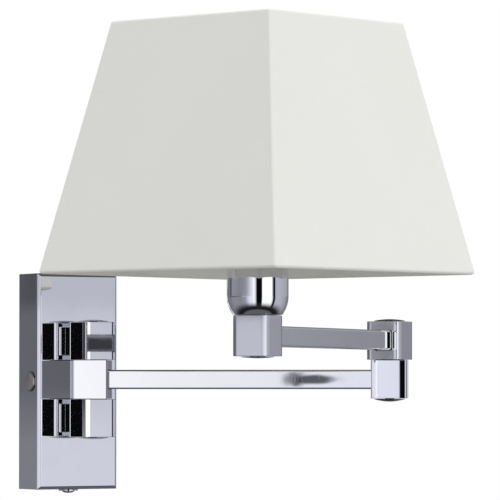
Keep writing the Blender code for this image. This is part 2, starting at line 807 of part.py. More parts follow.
def make_shade_frame(lamp):
    """The wire at the top, and the wire, spokes and fitter ring welded into one at the bottom."""
    square_wire("shade_frame_top", SHADE_HEIGHT - FRAME_INSET, lamp, "white_wire")
    ring_low = RING_SEAT + RING_HEIGHT + GAP
    fitter = turned(
        "shade_frame_bottom",
        ring_profile(SKIRT_RADIUS + 2 * GAP, FITTER_RADIUS, ring_low, ring_low + FITTER_HEIGHT),
        (0, 0, 0), "white_wire", lamp, ring=True,
    )
    join(fitter, curve_to_mesh(square_wire("bottom_wire", FRAME_INSET, lamp)))
    half = shade_half(FRAME_INSET) - SHADE_WALL - GAP - 1.15 * WIRE_RADIUS
    corner = hypot(half, half) - 1.8 * MM
    level = ring_low + FITTER_HEIGHT / 2
    for number in range(4):
        angle = radians(45 + 90 * number)
        reaches = (
            (RING_RADIUS + 2 * GAP, level),
            (FITTER_RADIUS + 4 * MM, level),
            (corner, SHADE_FOOT + FRAME_INSET),
        )
        points = [(reach * cos(angle), reach * sin(angle), rise) for reach, rise in reaches]
        curve = wire_curve(f"spoke_{number + 1}", points, SPOKE_RADIUS, resolution=1)
        join(fitter, curve_to_mesh(add(f"spoke_{number + 1}", curve, parent=lamp)))


# ---------------------------------------------------------------- bulb


def make_bulb(lamp):
    """A screw-cap bulb: the hollow metal cap and the glass envelope in it."""
    tip = SOCKET_FLOOR + 1.4 * MM
    shoulder = tip + 6 * MM
    cap_top = tip + 28 * MM
    wall = 0.7 * MM
    turned(
        "bulb_cap",
        [
            (0, tip + 2.5 * MM),
            (8 * MM, shoulder - 0.5 * MM),
            (BULB_CAP_RADIUS - wall, shoulder + 1 * MM),
            (BULB_CAP_RADIUS - wall, cap_top),
            (BULB_CAP_RADIUS, cap_top),
            (BULB_CAP_RADIUS, shoulder),
            (8.5 * MM, shoulder - 2 * MM),
            (4.5 * MM, tip + 1 * MM),
            (3.5 * MM, tip),
            (0, tip),
        ],
        (0, 0, 0), "brass", lamp,
    )
    top = tip + BULB_LENGTH
    centre = top - BULB_RADIUS
    neck_low = cap_top - 14 * MM
    inside_cap = BULB_CAP_RADIUS - wall - GAP
    flare = SKIRT_TOP + 1 * MM

    def side(offset):
        """The envelope's side from its top to its neck, this far inside the outer surface."""
        round_part = arc((0, centre), BULB_RADIUS - offset, 90, -30, 6)
        neck = [
            (BULB_NECK + 3 * MM - offset, flare + 8 * MM),
            (BULB_NECK - offset, flare),
            (BULB_NECK - offset, cap_top + 1 * MM),
            (inside_cap - offset, cap_top + GAP),
            (inside_cap - offset, neck_low),
        ]
        return [(0, round_part[0][1]), *round_part[1:], *neck]

    turned("bulb_glass", side(0) + side(BULB_WALL)[::-1], (0, 0, 0), "glass", lamp, steps=20)


# ---------------------------------------------------------------- inside the box, and the switch


def make_terminals():
    """The terminal block on the bracket, its two screws, and the earth screw."""
    back = -BRACKET_THICKNESS - GAP
    depth = TERMINAL_SIZE[1]
    middle = (0, back - depth / 2, TERMINAL_LEVEL)
    block = box("terminal_block", TERMINAL_SIZE, middle, "porcelain", edge=0.6 * MM)
    front = back - depth
    radius = 2 * MM
    length = 5 * MM
    for side, x in (("live", -TERMINAL_APART / 2), ("neutral", TERMINAL_APART / 2)):
        place = (x, front, TERMINAL_LEVEL)
        hole = rod(
            f"screw_hole_{side}", radius + GAP, 14 * MM, place, turn=BACKWARD, sides=16
        )
        cut(block, hole)
        turned(
            f"terminal_screw_{side}", [(0, 0), (radius, 0), (radius, -length), (0, -length)],
            (x, front + 0.5 * MM, TERMINAL_LEVEL), "brass", turn=BACKWARD, steps=16,
        )
    head = 2 * MM
    shank = 1.8 * MM
    turned(
        "earth_screw",
        [
            (0, head),
            (3 * MM, head),
            (3.5 * MM, 0),
            (EARTH_HOLE_RADIUS - GAP, 0),
            (EARTH_HOLE_RADIUS - GAP, -shank),
            (0, -shank),
        ],
        (EARTH_PLACE[0], back, EARTH_PLACE[1]), "brass", turn=BACKWARD, steps=16,
    )


def make_switch(pivot):
    """A push switch: its body inside the box, the collar that clamps it, and the domed button."""
    floor = -BOX_HEIGHT / 2
    inside = floor + BOX_WALL + GAP
    bush_top = inside + 3 * MM
    well_top = inside + 9 * MM  # the hollow that the button's stem slides in
    place = (0, -SWITCH_OUT, 0)
    turned(
        "switch_body",
        [
            (0, inside + SWITCH_BODY_HEIGHT),
            (SWITCH_BODY_RADIUS, inside + SWITCH_BODY_HEIGHT),
            (SWITCH_BODY_RADIUS, inside),
            (BUSH_RADIUS + GAP, inside),
            (BUSH_RADIUS + GAP, bush_top),
            (BUTTON_RADIUS + GAP, bush_top),
            (BUTTON_RADIUS + GAP, well_top),
            (0, well_top),
        ],
        place, "nylon", steps=24,
    )
    face = floor - GAP
    turned(
        "switch_collar",
        [
            (BUSH_RADIUS, bush_top - GAP),
            (BUSH_RADIUS, face),
            (COLLAR_RADIUS, face),
            (COLLAR_RADIUS, face - COLLAR_THICKNESS + 0.4 * MM),
            (COLLAR_RADIUS - 0.4 * MM, face - COLLAR_THICKNESS),
            (BUTTON_RADIUS + GAP, face - COLLAR_THICKNESS),
            (BUTTON_RADIUS + GAP, bush_top - GAP),
        ],
        place, "chrome", ring=True,
    )
    dome_low = floor - BUTTON_DROP
    dome_rise = 1.4 * MM
    low = dome_low - pivot.location.z
    stem_top = well_top - BUTTON_TRAVEL - 1 * MM - pivot.location.z
    profile = [(0, stem_top), (BUTTON_RADIUS, stem_top)]
    for step in range(4):
        part = radians(90 * step / 4)
        profile.append((BUTTON_RADIUS * cos(part), low + dome_rise * (1 - sin(part))))
    profile.append((0, low))
    turned("switch_button", profile, (0, 0, 0), "chrome", pivot)


def make_box_wiring():
    """From the terminals: two wires down to the switch, and the cable out through the upper nipple."""
    for side, sign in (("a", -1), ("b", 1)):
        route = [
            (sign * 5 * MM, -9 * MM, 36.4 * MM),
            (sign * 10 * MM, -9 * MM, 10 * MM),
            (sign * 11 * MM, -9 * MM, -25 * MM),
            (sign * 4 * MM, -14 * MM, -55.8 * MM),
        ]
        curve = wire_curve(f"switch_wire_{side}", smooth_route(route, 4), 1 * MM, resolution=1)
        add(f"switch_wire_{side}", curve, kind="cable")
    route = [
        (0, -8 * MM, 36.2 * MM),
        (0, -10 * MM, 31.5 * MM),
        (0, -17 * MM, UPPER_STEM_LEVEL),
        (0, -30 * MM, UPPER_STEM_LEVEL),
        (0, FIXING_TIP, UPPER_STEM_LEVEL),
    ]
    curve = wire_curve("box_cable", smooth_route(route, 4), CABLE_RADIUS, resolution=1)
    add("box_cable", curve, kind="cable")


# ---------------------------------------------------------------- assembly


def main():
    swing_axis = axis_empty("wall_swing_axis", HINGE_PLACE, SWING)
    elbow_axis = axis_empty("elbow_axis", (LOWER_ARM, 0, PITCH), ELBOW, swing_axis)
    lamp_axis = axis_empty("lamp_axis", (UPPER_ARM, 0, 0), SWIVEL, elbow_axis)
    switch_axis = axis_empty("switch_axis", (0, -SWITCH_OUT, -BOX_HEIGHT / 2), 0)
    make_box_cover()
    make_wall_bracket()
    make_side_screws()
    make_stems()
    make_stem_fixings()
    make_fixed_knuckles()
    make_wall_hinge()
    make_terminals()
    make_switch(switch_axis)
    make_box_wiring()
    make_lower_arm(swing_axis)
    make_upper_arm(elbow_axis)
    make_holder(lamp_axis)
    make_shade_rings(lamp_axis)
    make_shade_skin(lamp_axis)
    make_shade_frame(lamp_axis)
    make_bulb(lamp_axis)


main()
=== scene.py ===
# %% [markdown]
# # A swing arm wall sconce
#
# The lamp hangs on a wall. A slim polished box holds the wiring, two square blocks stand off its front, and
# a third block turns between them and carries the first arm. A second arm folds back over it from the elbow
# and ends in a block under the lamp holder, where a square tapered shade sits. The metal is polished
# chrome, so most of what is seen on it is the studio, and the shade is fine cloth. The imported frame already
# holds every piece at its true size and place, so this lesson only makes the surfaces finer and gives each
# one its finish.

import json
from math import asin, atan2, copysign, cos, degrees, hypot, pi, radians, sin

import bmesh
import bpy
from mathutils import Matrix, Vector


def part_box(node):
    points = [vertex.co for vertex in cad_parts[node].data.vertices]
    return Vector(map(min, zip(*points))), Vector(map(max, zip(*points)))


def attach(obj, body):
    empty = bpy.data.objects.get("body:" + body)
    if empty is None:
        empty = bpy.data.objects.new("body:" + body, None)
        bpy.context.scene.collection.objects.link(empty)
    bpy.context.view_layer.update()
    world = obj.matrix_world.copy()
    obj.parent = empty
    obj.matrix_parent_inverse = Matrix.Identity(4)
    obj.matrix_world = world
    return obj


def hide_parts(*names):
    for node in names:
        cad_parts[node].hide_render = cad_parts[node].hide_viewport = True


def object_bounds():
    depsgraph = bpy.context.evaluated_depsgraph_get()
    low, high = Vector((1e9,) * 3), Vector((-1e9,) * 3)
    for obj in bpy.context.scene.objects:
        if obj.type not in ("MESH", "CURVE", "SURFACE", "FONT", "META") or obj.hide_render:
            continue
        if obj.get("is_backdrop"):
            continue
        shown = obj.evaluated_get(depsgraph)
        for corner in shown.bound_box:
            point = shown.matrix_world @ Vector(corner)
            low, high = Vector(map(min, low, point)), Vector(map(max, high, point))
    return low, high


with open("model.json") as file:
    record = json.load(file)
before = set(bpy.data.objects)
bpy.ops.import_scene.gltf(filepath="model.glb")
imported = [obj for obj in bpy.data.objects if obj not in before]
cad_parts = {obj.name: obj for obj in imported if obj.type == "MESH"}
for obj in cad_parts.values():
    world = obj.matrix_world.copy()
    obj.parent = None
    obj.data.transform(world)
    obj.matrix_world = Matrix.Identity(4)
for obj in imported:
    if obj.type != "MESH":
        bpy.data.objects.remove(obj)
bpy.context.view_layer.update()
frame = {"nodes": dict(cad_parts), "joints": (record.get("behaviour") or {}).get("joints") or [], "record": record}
MM = 0.001

joint_place = {joint["name"]: Vector(joint["pos_m"]) for joint in frame["joints"] if "pos_m" in joint}
SWING = joint_place["wall_swing"]
ELBOW = joint_place["elbow"]
LAMP = joint_place["lamp_swivel"]
LOWER_TURN = atan2(ELBOW.y - SWING.y, ELBOW.x - SWING.x)
UPPER_TURN = atan2(LAMP.y - ELBOW.y, LAMP.x - ELBOW.x)
print("lower arm", round(degrees(LOWER_TURN), 1), "degrees, upper arm", round(degrees(UPPER_TURN), 1))

# %% [markdown]
# ## The camera and the studio
#
# The camera stands low and far off with a long lens, thirty degrees to the left of square on, so the box
# shows its left side and the uprights stay upright. Chrome has no colour of its own: it shows what stands
# round it. A studio lights it with a few big white boards and black flags. One way is to build those boards
# as planes, but a world whose brightness depends only on the direction gives the same reflections with no
# planes to hide. So the studio is a ring of light and dark stretches, written as a table of compass
# directions. Each direction has a brightness below, at and above the horizon, because tall boards are rarely
# lit evenly.

# %% Camera
CAMERA_PLACE = (-1.3178, -2.5555, -0.00467)
CAMERA_PITCH = radians(91.965)
CAMERA_YAW = radians(-30)
LENS = 289.6
bpy.ops.object.camera_add(location=CAMERA_PLACE, rotation=(CAMERA_PITCH, 0, CAMERA_YAW))
camera = bpy.context.object
camera.name = "camera"
camera.data.sensor_width = 36
camera.data.lens = LENS
camera.data.clip_start = 0.1
camera.data.clip_end = 60
bpy.context.scene.camera = camera

# %% Small tools for node trees


def node(tree, kind, **settings):
    """A new node with its settings; a name that starts with in_ sets an input by its number."""
    made = tree.nodes.new(kind)
    for key, value in settings.items():
        if key.startswith("in_"):
            made.inputs[int(key[3:])].default_value = value
        else:
            setattr(made, key, value)
    return made


def wire(source, target):
    """Joins two sockets of one tree."""
    source.id_data.links.new(source, target)


def feed(target, value):
    """Sets a plain number or colour on an input, or joins a socket to it."""
    if isinstance(value, (int, float, tuple)):
        target.default_value = value
    else:
        wire(value, target)


def maths(operation, first, second=0.0, third=0.0):
    """A Math node on a socket and further sockets or numbers; it gives back its output."""
    made = node(first.id_data, "ShaderNodeMath", operation=operation)
    for target, value in zip(made.inputs, (first, second, third)):
        feed(target, value)
    return made.outputs[0]


def spread(value, low, high, to_low=0.0, to_high=1.0, smooth=False):
    """A Map Range node from low..high to to_low..to_high."""
    made = node(value.id_data, "ShaderNodeMapRange", in_1=low, in_2=high, in_3=to_low, in_4=to_high)
    if smooth:
        made.interpolation_type = "SMOOTHSTEP"
    wire(value, made.inputs[0])
    return made.outputs[0]


def blend_colours(mask, first, second):
    """A Mix node for colours, on sockets or plain colours."""
    made = node(mask.id_data, "ShaderNodeMix", data_type="RGBA")
    for number, value in ((0, mask), (6, first), (7, second)):
        feed(made.inputs[number], value)
    return made.outputs[2]


def mix_shaders(mask, first, second):
    """A Mix Shader node: the first shader where the mask is 0, the second where it is 1."""
    made = node(mask.id_data, "ShaderNodeMixShader")
    for target, source in zip(made.inputs, (mask, first, second)):
        wire(source, target)
    return made.outputs[0]


# %% The ring of boards and flags
BOARDS = (  # compass direction in degrees, brightness below, at and above the horizon
    (-180, 0.28, 0.50, 0.26), (-175, 0.30, 0.54, 0.28), (-168.9, 0.33, 0.58, 0.30),
    (-168.6, 0.33, 0.23, 0.30), (-167.6, 0.34, 0.23, 0.31), (-167.2, 0.34, 0.55, 0.31),
    (-160, 0.55, 0.62, 0.38), (-150, 0.82, 0.80, 0.62), (-141, 0.87, 0.90, 0.84),
    (-135, 1.10, 1.10, 1.10), (-132.7, 0.95, 0.95, 0.95), (-130, 0.84, 0.84, 0.84),
    (-127.5, 0.60, 0.60, 0.60), (-124, 0.003, 0.003, 0.003), (-105, 0.003, 0.003, 0.003),
    (-102, 1.20, 1.20, 1.20), (-66, 1.20, 1.20, 1.20), (-63.8, 0.71, 0.62, 0.54),
    (-60.9, 0.69, 0.62, 0.54), (-60.2, 0.01, 0.01, 0.01), (-52, 0.01, 0.01, 0.01),
    (-49, 0.49, 0.49, 0.49), (-27, 0.48, 0.48, 0.48), (0, 0.38, 0.38, 0.42),
    (10.3, 0.34, 0.34, 0.42), (12.2, 0.27, 0.27, 0.40), (32, 0.20, 0.20, 0.24),
    (47, 0.18, 0.18, 0.18), (49, 0.60, 0.60, 0.20), (53, 0.60, 0.60, 0.18),
    (56, 0.12, 0.12, 0.12), (90, 0.14, 0.14, 0.14), (112, 0.22, 0.16, 0.20),
    (117, 0.22, 0.14, 0.085), (123, 0.22, 0.14, 0.085), (126, 0.26, 0.05, 0.29),
    (146, 0.27, 0.05, 0.29), (150, 0.27, 0.10, 0.28), (170, 0.26, 0.14, 0.25),
    (176, 0.27, 0.20, 0.26), (180, 0.28, 0.50, 0.26),
)
CEILING_AND_FLOOR = (  # elevation in degrees, brightness
    (-90, 0.10), (-64, 0.12), (-56, 0.12), (-49, 0.01), (-30, 0.03), (36, 0.04), (60, 0.10), (90, 0.09),
)
LOW_BLEND = (-0.8, 0.0)  # elevations between which the lower row gives way to the middle one
HIGH_BLEND = (1.05, 1.28)  # and the middle one to the upper one
BOARD_FEET = (-42, -19)  # elevations between which the boards begin
BOARD_TOPS = (28, 38)
TALLEST = 1.25  # the ramps hold brightness as a share of this
COOL_GREY = (1.0, 1.012, 1.16)
COOL_WHITE = (1.0, 1.01, 1.04)


def ramp(value, stops, low, high):
    """A colour ramp through (position, brightness) stops, grey ones cooler than white ones."""
    made = node(value.id_data, "ShaderNodeValToRGB")
    wire(value, made.inputs[0])
    elements = made.color_ramp.elements
    while len(elements) > 1:
        elements.remove(elements[-1])
    for number, (place, brightness) in enumerate(stops):
        position = (place - low) / (high - low)
        element = elements[0] if number == 0 else elements.new(position)
        element.position = position
        tint = COOL_WHITE if brightness > 0.9 else COOL_GREY
        element.color = (*(min(1.0, brightness * share / TALLEST) for share in tint), 1)
    return made.outputs[0]


world = bpy.data.worlds.new("studio")
bpy.context.scene.world = world
world.use_nodes = True
sky = world.node_tree
sky.nodes.clear()
direction = node(sky, "ShaderNodeSeparateXYZ")
wire(node(sky, "ShaderNodeTexCoord").outputs["Generated"], direction.inputs[0])
compass = maths("ARCTAN2", direction.outputs[1], direction.outputs[0])
elevation = maths("MULTIPLY", maths("ARCSINE", direction.outputs[2]), degrees(1))
eastern = maths("GREATER_THAN", compass, 0.0)
rows = []
for number in (1, 2, 3):
    halves = []
    for start, end in ((-180, 0), (0, 180)):  # a ramp holds 32 stops, so each half has its own
        stops = [(stop[0], stop[number]) for stop in BOARDS if start <= stop[0] <= end]
        halves.append(ramp(spread(compass, radians(start), radians(end)), stops, start, end))
    rows.append(blend_colours(eastern, *halves))
lower_boards = blend_colours(spread(elevation, *LOW_BLEND), rows[0], rows[1])
boards = blend_colours(spread(elevation, *HIGH_BLEND), lower_boards, rows[2])
beyond = ramp(spread(elevation, -90, 90), CEILING_AND_FLOOR, -90, 90)
board_foot = spread(elevation, *BOARD_FEET, smooth=True)
board_height = maths("MULTIPLY", board_foot, spread(elevation, *BOARD_TOPS, 1, 0, smooth=True))
mirrored = blend_colours(board_height, beyond, boards)
print("studio with", len(BOARDS), "compass stops")

# %% [markdown]
# Two small dark ovals stand for things in front of the boards. The long lower arm, which mirrors only a
# degree or two of the studio, draws them out into a soft dark smear. Matt surfaces and mirrors are lit
# separately: cloth needs an even, soft light that is brighter from above, which the ring of boards alone
# wouldn't give it.

# %% Dark ovals and the soft light
DARK = (0.05, 0.05, 0.06, 1)
DENSE = 0.95
SPOT_RIM = (0.6, 1.1)  # shares of an oval's size between which it fades out


def dark_spot(colour, compass_place, half_width, level, half_height):
    """Darkens a small oval of the boards; its place and size are in degrees."""
    sideways = maths("MULTIPLY_ADD", compass, degrees(1) / half_width, -compass_place / half_width)
    upwards = maths("MULTIPLY_ADD", elevation, 1 / half_height, -level / half_height)
    squares = maths("ADD", maths("MULTIPLY", sideways, sideways), maths("MULTIPLY", upwards, upwards))
    return blend_colours(spread(maths("SQRT", squares), *SPOT_RIM, DENSE, 0, smooth=True), colour, DARK)


mirrored = dark_spot(mirrored, -131.36, 0.16, 0.15, 0.80)
mirrored = dark_spot(mirrored, -131.08, 0.34, 0.12, 0.45)

mirror_light = node(sky, "ShaderNodeBackground", in_1=TALLEST)
wire(mirrored, mirror_light.inputs[0])
SOFT_LOW = 0.40  # what lights matt surfaces from below
SOFT_HIGH = 1.03
SOFT_FRONT = 1.08  # share of it that comes from the room's side
SOFT_BEHIND = 0.84  # and from the wall's side
soft_rise = spread(direction.outputs[2], -0.3, 0.3, SOFT_LOW, SOFT_HIGH)
soft_share = spread(direction.outputs[1], -1, 1, SOFT_FRONT, SOFT_BEHIND)
soft_light = node(sky, "ShaderNodeBackground", in_0=(1.0, 1.0, 0.985, 1))
wire(maths("MULTIPLY", soft_rise, soft_share), soft_light.inputs[1])
paper_white = node(sky, "ShaderNodeBackground", in_0=(1, 1, 1, 1), in_1=1.0)
ray = node(sky, "ShaderNodeLightPath")
lighting = mix_shaders(ray.outputs["Is Glossy Ray"], soft_light.outputs[0], mirror_light.outputs[0])
seen = mix_shaders(ray.outputs["Is Camera Ray"], lighting, paper_white.outputs[0])
wire(seen, node(sky, "ShaderNodeOutputWorld").inputs[0])
bpy.context.scene.view_settings.view_transform = "Standard"
print("soft light from", SOFT_LOW, "below to", SOFT_HIGH, "above")

# %% [markdown]
# ## The floor and the soft lamps
#
# The floor is one pale disc well below the lamp. It takes a faint shadow near the middle and fades to paper
# white further out, so that no edge or horizon shows in a high view. Mirrors don't see it, as if a dark cloth
# lay there: that is what draws the thin dark lines along the lower edges of the arms. Two large area lamps
# shape the matt shade, one side a little brighter than the other, and don't show in the chrome either.

# %% Floor
FLOOR_LEVEL = -0.36
FLOOR_RADIUS = 12
FADE = (0.25, 1.6)  # distances from the middle between which the floor turns into paper
bpy.ops.mesh.primitive_circle_add(
    vertices=96, radius=FLOOR_RADIUS, fill_type="NGON", location=(0, -0.2, FLOOR_LEVEL)
)
floor = bpy.context.object
floor.name = "studio_floor"
floor.visible_glossy = False
floor.visible_diffuse = False
floor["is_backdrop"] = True
floor_paint = bpy.data.materials.new("floor_paint")
floor_paint.use_nodes = True
tree = floor_paint.node_tree
shader = tree.nodes["Principled BSDF"]
shader.inputs["Base Color"].default_value = (0.86, 0.86, 0.86, 1)
shader.inputs["Roughness"].default_value = 0.9
shader.inputs["Specular IOR Level"].default_value = 0.1
distance = node(tree, "ShaderNodeVectorMath", operation="LENGTH")
wire(node(tree, "ShaderNodeTexCoord").outputs["Object"], distance.inputs[0])
fading = spread(distance.outputs["Value"], *FADE, smooth=True)
paper = node(tree, "ShaderNodeEmission", in_0=(1, 1, 1, 1), in_1=1.0)
mixed = mix_shaders(fading, shader.outputs[0], paper.outputs[0])
wire(mixed, tree.nodes["Material Output"].inputs[0])
floor.data.materials.append(floor_paint)
bpy.context.view_layer.update()
print("floor at", FLOOR_LEVEL)

# %% Soft lamps
AIM = Vector((0, -0.25, 0.1))
for name, place, size, power in (
    ("right_lamp", (1.1, -2.3, 0.1), 1.2, 9),
    ("top_lamp", (-0.2, -0.3, 2.2), 1.6, 6),
):
    bpy.ops.object.light_add(type="AREA", location=place)
    lamp = bpy.context.object
    lamp.name = name
    lamp.data.shape = "SQUARE"
    lamp.data.size = size
    lamp.data.energy = power
    lamp.rotation_euler = (AIM - Vector(place)).to_track_quat("-Z", "Y").to_euler()
    lamp.visible_glossy = False
    print(name, power, "watts")

# %% [markdown]
# ## Shared effects
#
# Several finishes share the same small faults: polished metal carries faint wipe marks and hairlines,
# mouldings have a fine skin, cloth has threads. Each effect is one node group with named inputs, built once
# and placed in every material that needs it with its own values. A group hands out only masks and heights,
# and the shader itself stays in the material. The patterns read Object coordinates, so they stay put when
# an arm swings.

# %% Group tools


def start_group(name, inputs, outputs):
    """A new node group; it returns the tree, its input sockets by name, and its output sockets."""
    group = bpy.data.node_groups.new(name, "ShaderNodeTree")
    for title, value in inputs:
        kind = "NodeSocketVector" if value is None else "NodeSocketFloat"
        socket = group.interface.new_socket(name=title, in_out="INPUT", socket_type=kind)
        if value is not None:
            socket.default_value = value
    for title in outputs:
        group.interface.new_socket(name=title, in_out="OUTPUT", socket_type="NodeSocketFloat")
    entry = node(group, "NodeGroupInput")
    return group, {title: entry.outputs[title] for title, _ in inputs}, node(group, "NodeGroupOutput").inputs


def place_group(group, vector, **values):
    """Places a group in a material; underscores in a value's name stand for spaces."""
    placed = node(vector.id_data, "ShaderNodeGroup", node_tree=group)
    for title, value in values.items():
        placed.inputs[title.replace("_", " ").capitalize()].default_value = value
    wire(vector, placed.inputs["Vector"])
    return placed.outputs


def stretched(vector, scale):
    """The vector scaled by three factors, to draw a pattern out along one axis."""
    mapping = node(vector.id_data, "ShaderNodeMapping", in_3=scale)
    wire(vector, mapping.inputs[0])
    return mapping.outputs[0]


def noise(vector, scale, detail=2.0, roughness=0.5):
    """A noise pattern; the scale is a number or a socket."""
    made = node(vector.id_data, "ShaderNodeTexNoise", in_3=detail, in_4=roughness)
    wire(vector, made.inputs[0])
    feed(made.inputs[2], scale)
    return made.outputs[0]


# %% Wipe marks and hairlines
polish_marks, given, out = start_group(
    "polish_marks",
    [("Vector", None), ("Base roughness", 0.03), ("Smudge", 0.03), ("Hairline", 0.02), ("Wave", 0.5)],
    ["Roughness", "Height", "Film"],
)
at = given["Vector"]
smudge = spread(noise(at, 38, 4, 0.6), 0.48, 0.75)
fine_lines = noise(stretched(at, (900, 900, 90)), 1.0, 1)
crossing = noise(stretched(at, (120, 160, 1400)), 1.0, 1)
hairline = maths("MAXIMUM", spread(fine_lines, 0.66, 0.78), spread(crossing, 0.68, 0.8))
worn = maths("MULTIPLY_ADD", smudge, given["Smudge"], given["Base roughness"])
wire(maths("MULTIPLY_ADD", hairline, given["Hairline"], worn), out["Roughness"])
wire(maths("MULTIPLY", noise(at, 95, 1, 0.4), given["Wave"]), out["Height"])
wire(smudge, out["Film"])

# %% Moulded or cast skin
moulded_skin, given, out = start_group(
    "moulded_skin",
    [("Vector", None), ("Scale", 600.0), ("Base roughness", 0.5), ("Variation", 0.1)],
    ["Roughness", "Height", "Mottle"],
)
at = given["Vector"]
cloud = noise(at, 45, 3)
wire(maths("MULTIPLY_ADD", cloud, given["Variation"], given["Base roughness"]), out["Roughness"])
wire(noise(at, given["Scale"], 3.0, 0.6), out["Height"])
wire(spread(cloud, 0.3, 0.7), out["Mottle"])

# %% Fine plain weave, with painted shade where the threads dip under
plain_weave, given, out = start_group(
    "plain_weave",
    [("Vector", None), ("Threads per metre", 2000.0), ("Slub", 0.4)],
    ["Height", "Shade", "Tone"],
)
at = given["Vector"]
place = node(plain_weave, "ShaderNodeSeparateXYZ")
wire(at, place.inputs[0])
turns = maths("MULTIPLY", given["Threads per metre"], pi)
across = maths("SINE", maths("MULTIPLY", place.outputs[0], turns))
along = maths("SINE", maths("MULTIPLY", place.outputs[1], turns))
over_under = maths("MULTIPLY", across, along)
weft = noise(stretched(at, (25, 1300, 1)), 1.0)
warp = noise(stretched(at, (1300, 25, 1)), 1.0)
slub = maths("ADD", weft, warp)
uneven = maths("MULTIPLY", maths("SUBTRACT", slub, 1.0), given["Slub"])
wire(maths("MULTIPLY_ADD", over_under, 0.5, maths("ADD", uneven, 0.5)), out["Height"])
# Shade is painted shade: lighter where a thread lies over, darker where it dips under
wire(spread(over_under, -1, 1), out["Shade"])
tone = noise(stretched(at, (9, 9, 1)), 1.0, 3)
wire(spread(maths("ADD", tone, uneven), 0.3, 0.8), out["Tone"])

# %% Dust that settles on what faces up
settled_dust, given, out = start_group("settled_dust", [("Vector", None), ("Amount", 0.3)], ["Dust"])
at = given["Vector"]
facing = node(settled_dust, "ShaderNodeSeparateXYZ")
wire(node(settled_dust, "ShaderNodeNewGeometry").outputs["Normal"], facing.inputs[0])
specks = spread(noise(at, 900), 0.45, 0.7)
upward = spread(facing.outputs[2], 0.55, 0.95, smooth=True)
wire(maths("MULTIPLY", maths("MULTIPLY", specks, upward), given["Amount"]), out["Dust"])
print("effects:", polish_marks.name, moulded_skin.name, plain_weave.name, settled_dust.name)

# %% [markdown]
# ## The finishes
#
# Every finish is one Principled shader. What is the same all over, such as the metal's own colour or a
# coat, is set on the shader itself. What changes over the surface comes from the groups above: the
# roughness of a wiped metal, the tiny waves that hand polishing leaves in it, the height of threads or of a
# moulded skin.

# %% Metal finishes


def finish(name, colour, roughness, metallic=0.0):
    """A material: it returns the material, its Principled shader's inputs, and the Object coordinates."""
    made = bpy.data.materials.new(name)
    made.use_nodes = True
    inputs = made.node_tree.nodes["Principled BSDF"].inputs
    inputs["Base Color"].default_value = (*colour, 1)
    inputs["Roughness"].default_value = roughness
    inputs["Metallic"].default_value = metallic
    return made, inputs, node(made.node_tree, "ShaderNodeTexCoord").outputs["Object"]


def raise_surface(inputs, height, depth):
    """A Bump node: the height, in metres, tilts the shader's normal."""
    bump = node(height.id_data, "ShaderNodeBump", in_0=1.0, in_1=depth)
    wire(height, bump.inputs["Height"])
    wire(bump.outputs[0], inputs["Normal"])


def toned(colour, share):
    """The colour times a share."""
    return (*(share * part for part in colour), 1)


def polished(name, colour, roughness, smudge, hairline, wave_depth):
    """Plated and polished metal: wipe marks and hairlines over it, and the gentle waves of hand polishing."""
    made, inputs, place = finish(name, colour, roughness, 1.0)
    marks = place_group(
        polish_marks, place, base_roughness=roughness, smudge=smudge, hairline=hairline, wave=1.0
    )
    wire(marks["Roughness"], inputs["Roughness"])
    wire(blend_colours(marks["Film"], (*colour, 1), toned(colour, 0.97)), inputs["Base Color"])
    raise_surface(inputs, marks["Height"], wave_depth)
    return made


CHROME_COLOUR = (0.86, 0.865, 0.88)
chrome_sheet = polished("chrome_sheet", CHROME_COLOUR, 0.025, 0.02, 0.015, 0.000004)
chrome_block = polished("chrome_block", CHROME_COLOUR, 0.02, 0.02, 0.015, 0.000003)
chrome_bar = polished("chrome_bar", CHROME_COLOUR, 0.02, 0.02, 0.015, 0.000003)
chrome_turned = polished("chrome_turned", CHROME_COLOUR, 0.02, 0.02, 0.01, 0.000003)
# painted shade: a darker copy of the chrome for the lids, standing for the dark reflections they show
chrome_dark = polished("chrome_dark", (0.14, 0.145, 0.16), 0.05, 0.03, 0.01, 0.000003)
screw_metal = polished("screw_metal", (0.60, 0.57, 0.55), 0.3, 0.1, 0.05, 0.00001)
zinc = polished("zinc_plate", (0.62, 0.62, 0.60), 0.38, 0.14, 0.1, 0.00004)
brass = polished("brass", (0.78, 0.58, 0.28), 0.22, 0.2, 0.08, 0.00002)

# %% Plastic, porcelain and paint
DUST_COLOUR = (0.55, 0.54, 0.5, 1)


def moulded(name, colour, roughness, variation, scale, depth, dust=0.0, coat=0.0):
    """A fine skin, a little mottling, and dust where it faces up."""
    made, inputs, place = finish(name, colour, roughness)
    skin = place_group(moulded_skin, place, scale=scale, base_roughness=roughness, variation=variation)
    wire(skin["Roughness"], inputs["Roughness"])
    body = blend_colours(skin["Mottle"], (*colour, 1), toned(colour, 0.93))
    dusty = place_group(settled_dust, place, amount=dust)
    wire(blend_colours(dusty["Dust"], body, DUST_COLOUR), inputs["Base Color"])
    inputs["Coat Weight"].default_value = coat
    raise_surface(inputs, skin["Height"], depth)
    return made


nylon = moulded("black_nylon", (0.035, 0.035, 0.04), 0.5, 0.2, 700, 0.00003)
porcelain = moulded("glazed_white", (0.84, 0.83, 0.79), 0.12, 0.12, 260, 0.00001, dust=0.4, coat=0.4)
white_coat = moulded("white_coat", (0.82, 0.82, 0.80), 0.38, 0.2, 500, 0.00002, dust=0.4)
insulation = moulded("cable_insulation", (0.78, 0.78, 0.75), 0.45, 0.15, 400, 0.00002)
liner_film = moulded("liner_film", (0.88, 0.88, 0.85), 0.42, 0.15, 350, 0.00001)

# %% [markdown]
# ### Cloth and bulb glass
#
# The shade's cloth is a fine plain weave, about two threads to the millimetre, glued to a stiff film. Its
# pattern follows the panels, so it reads the cover's own UV map, which is laid out in metres. A little
# sheen gives the soft edge light of fibres. The bulb is frosted: its glass is milky inside and smooth
# outside, so a rough transmission under a clear coat stands for both.

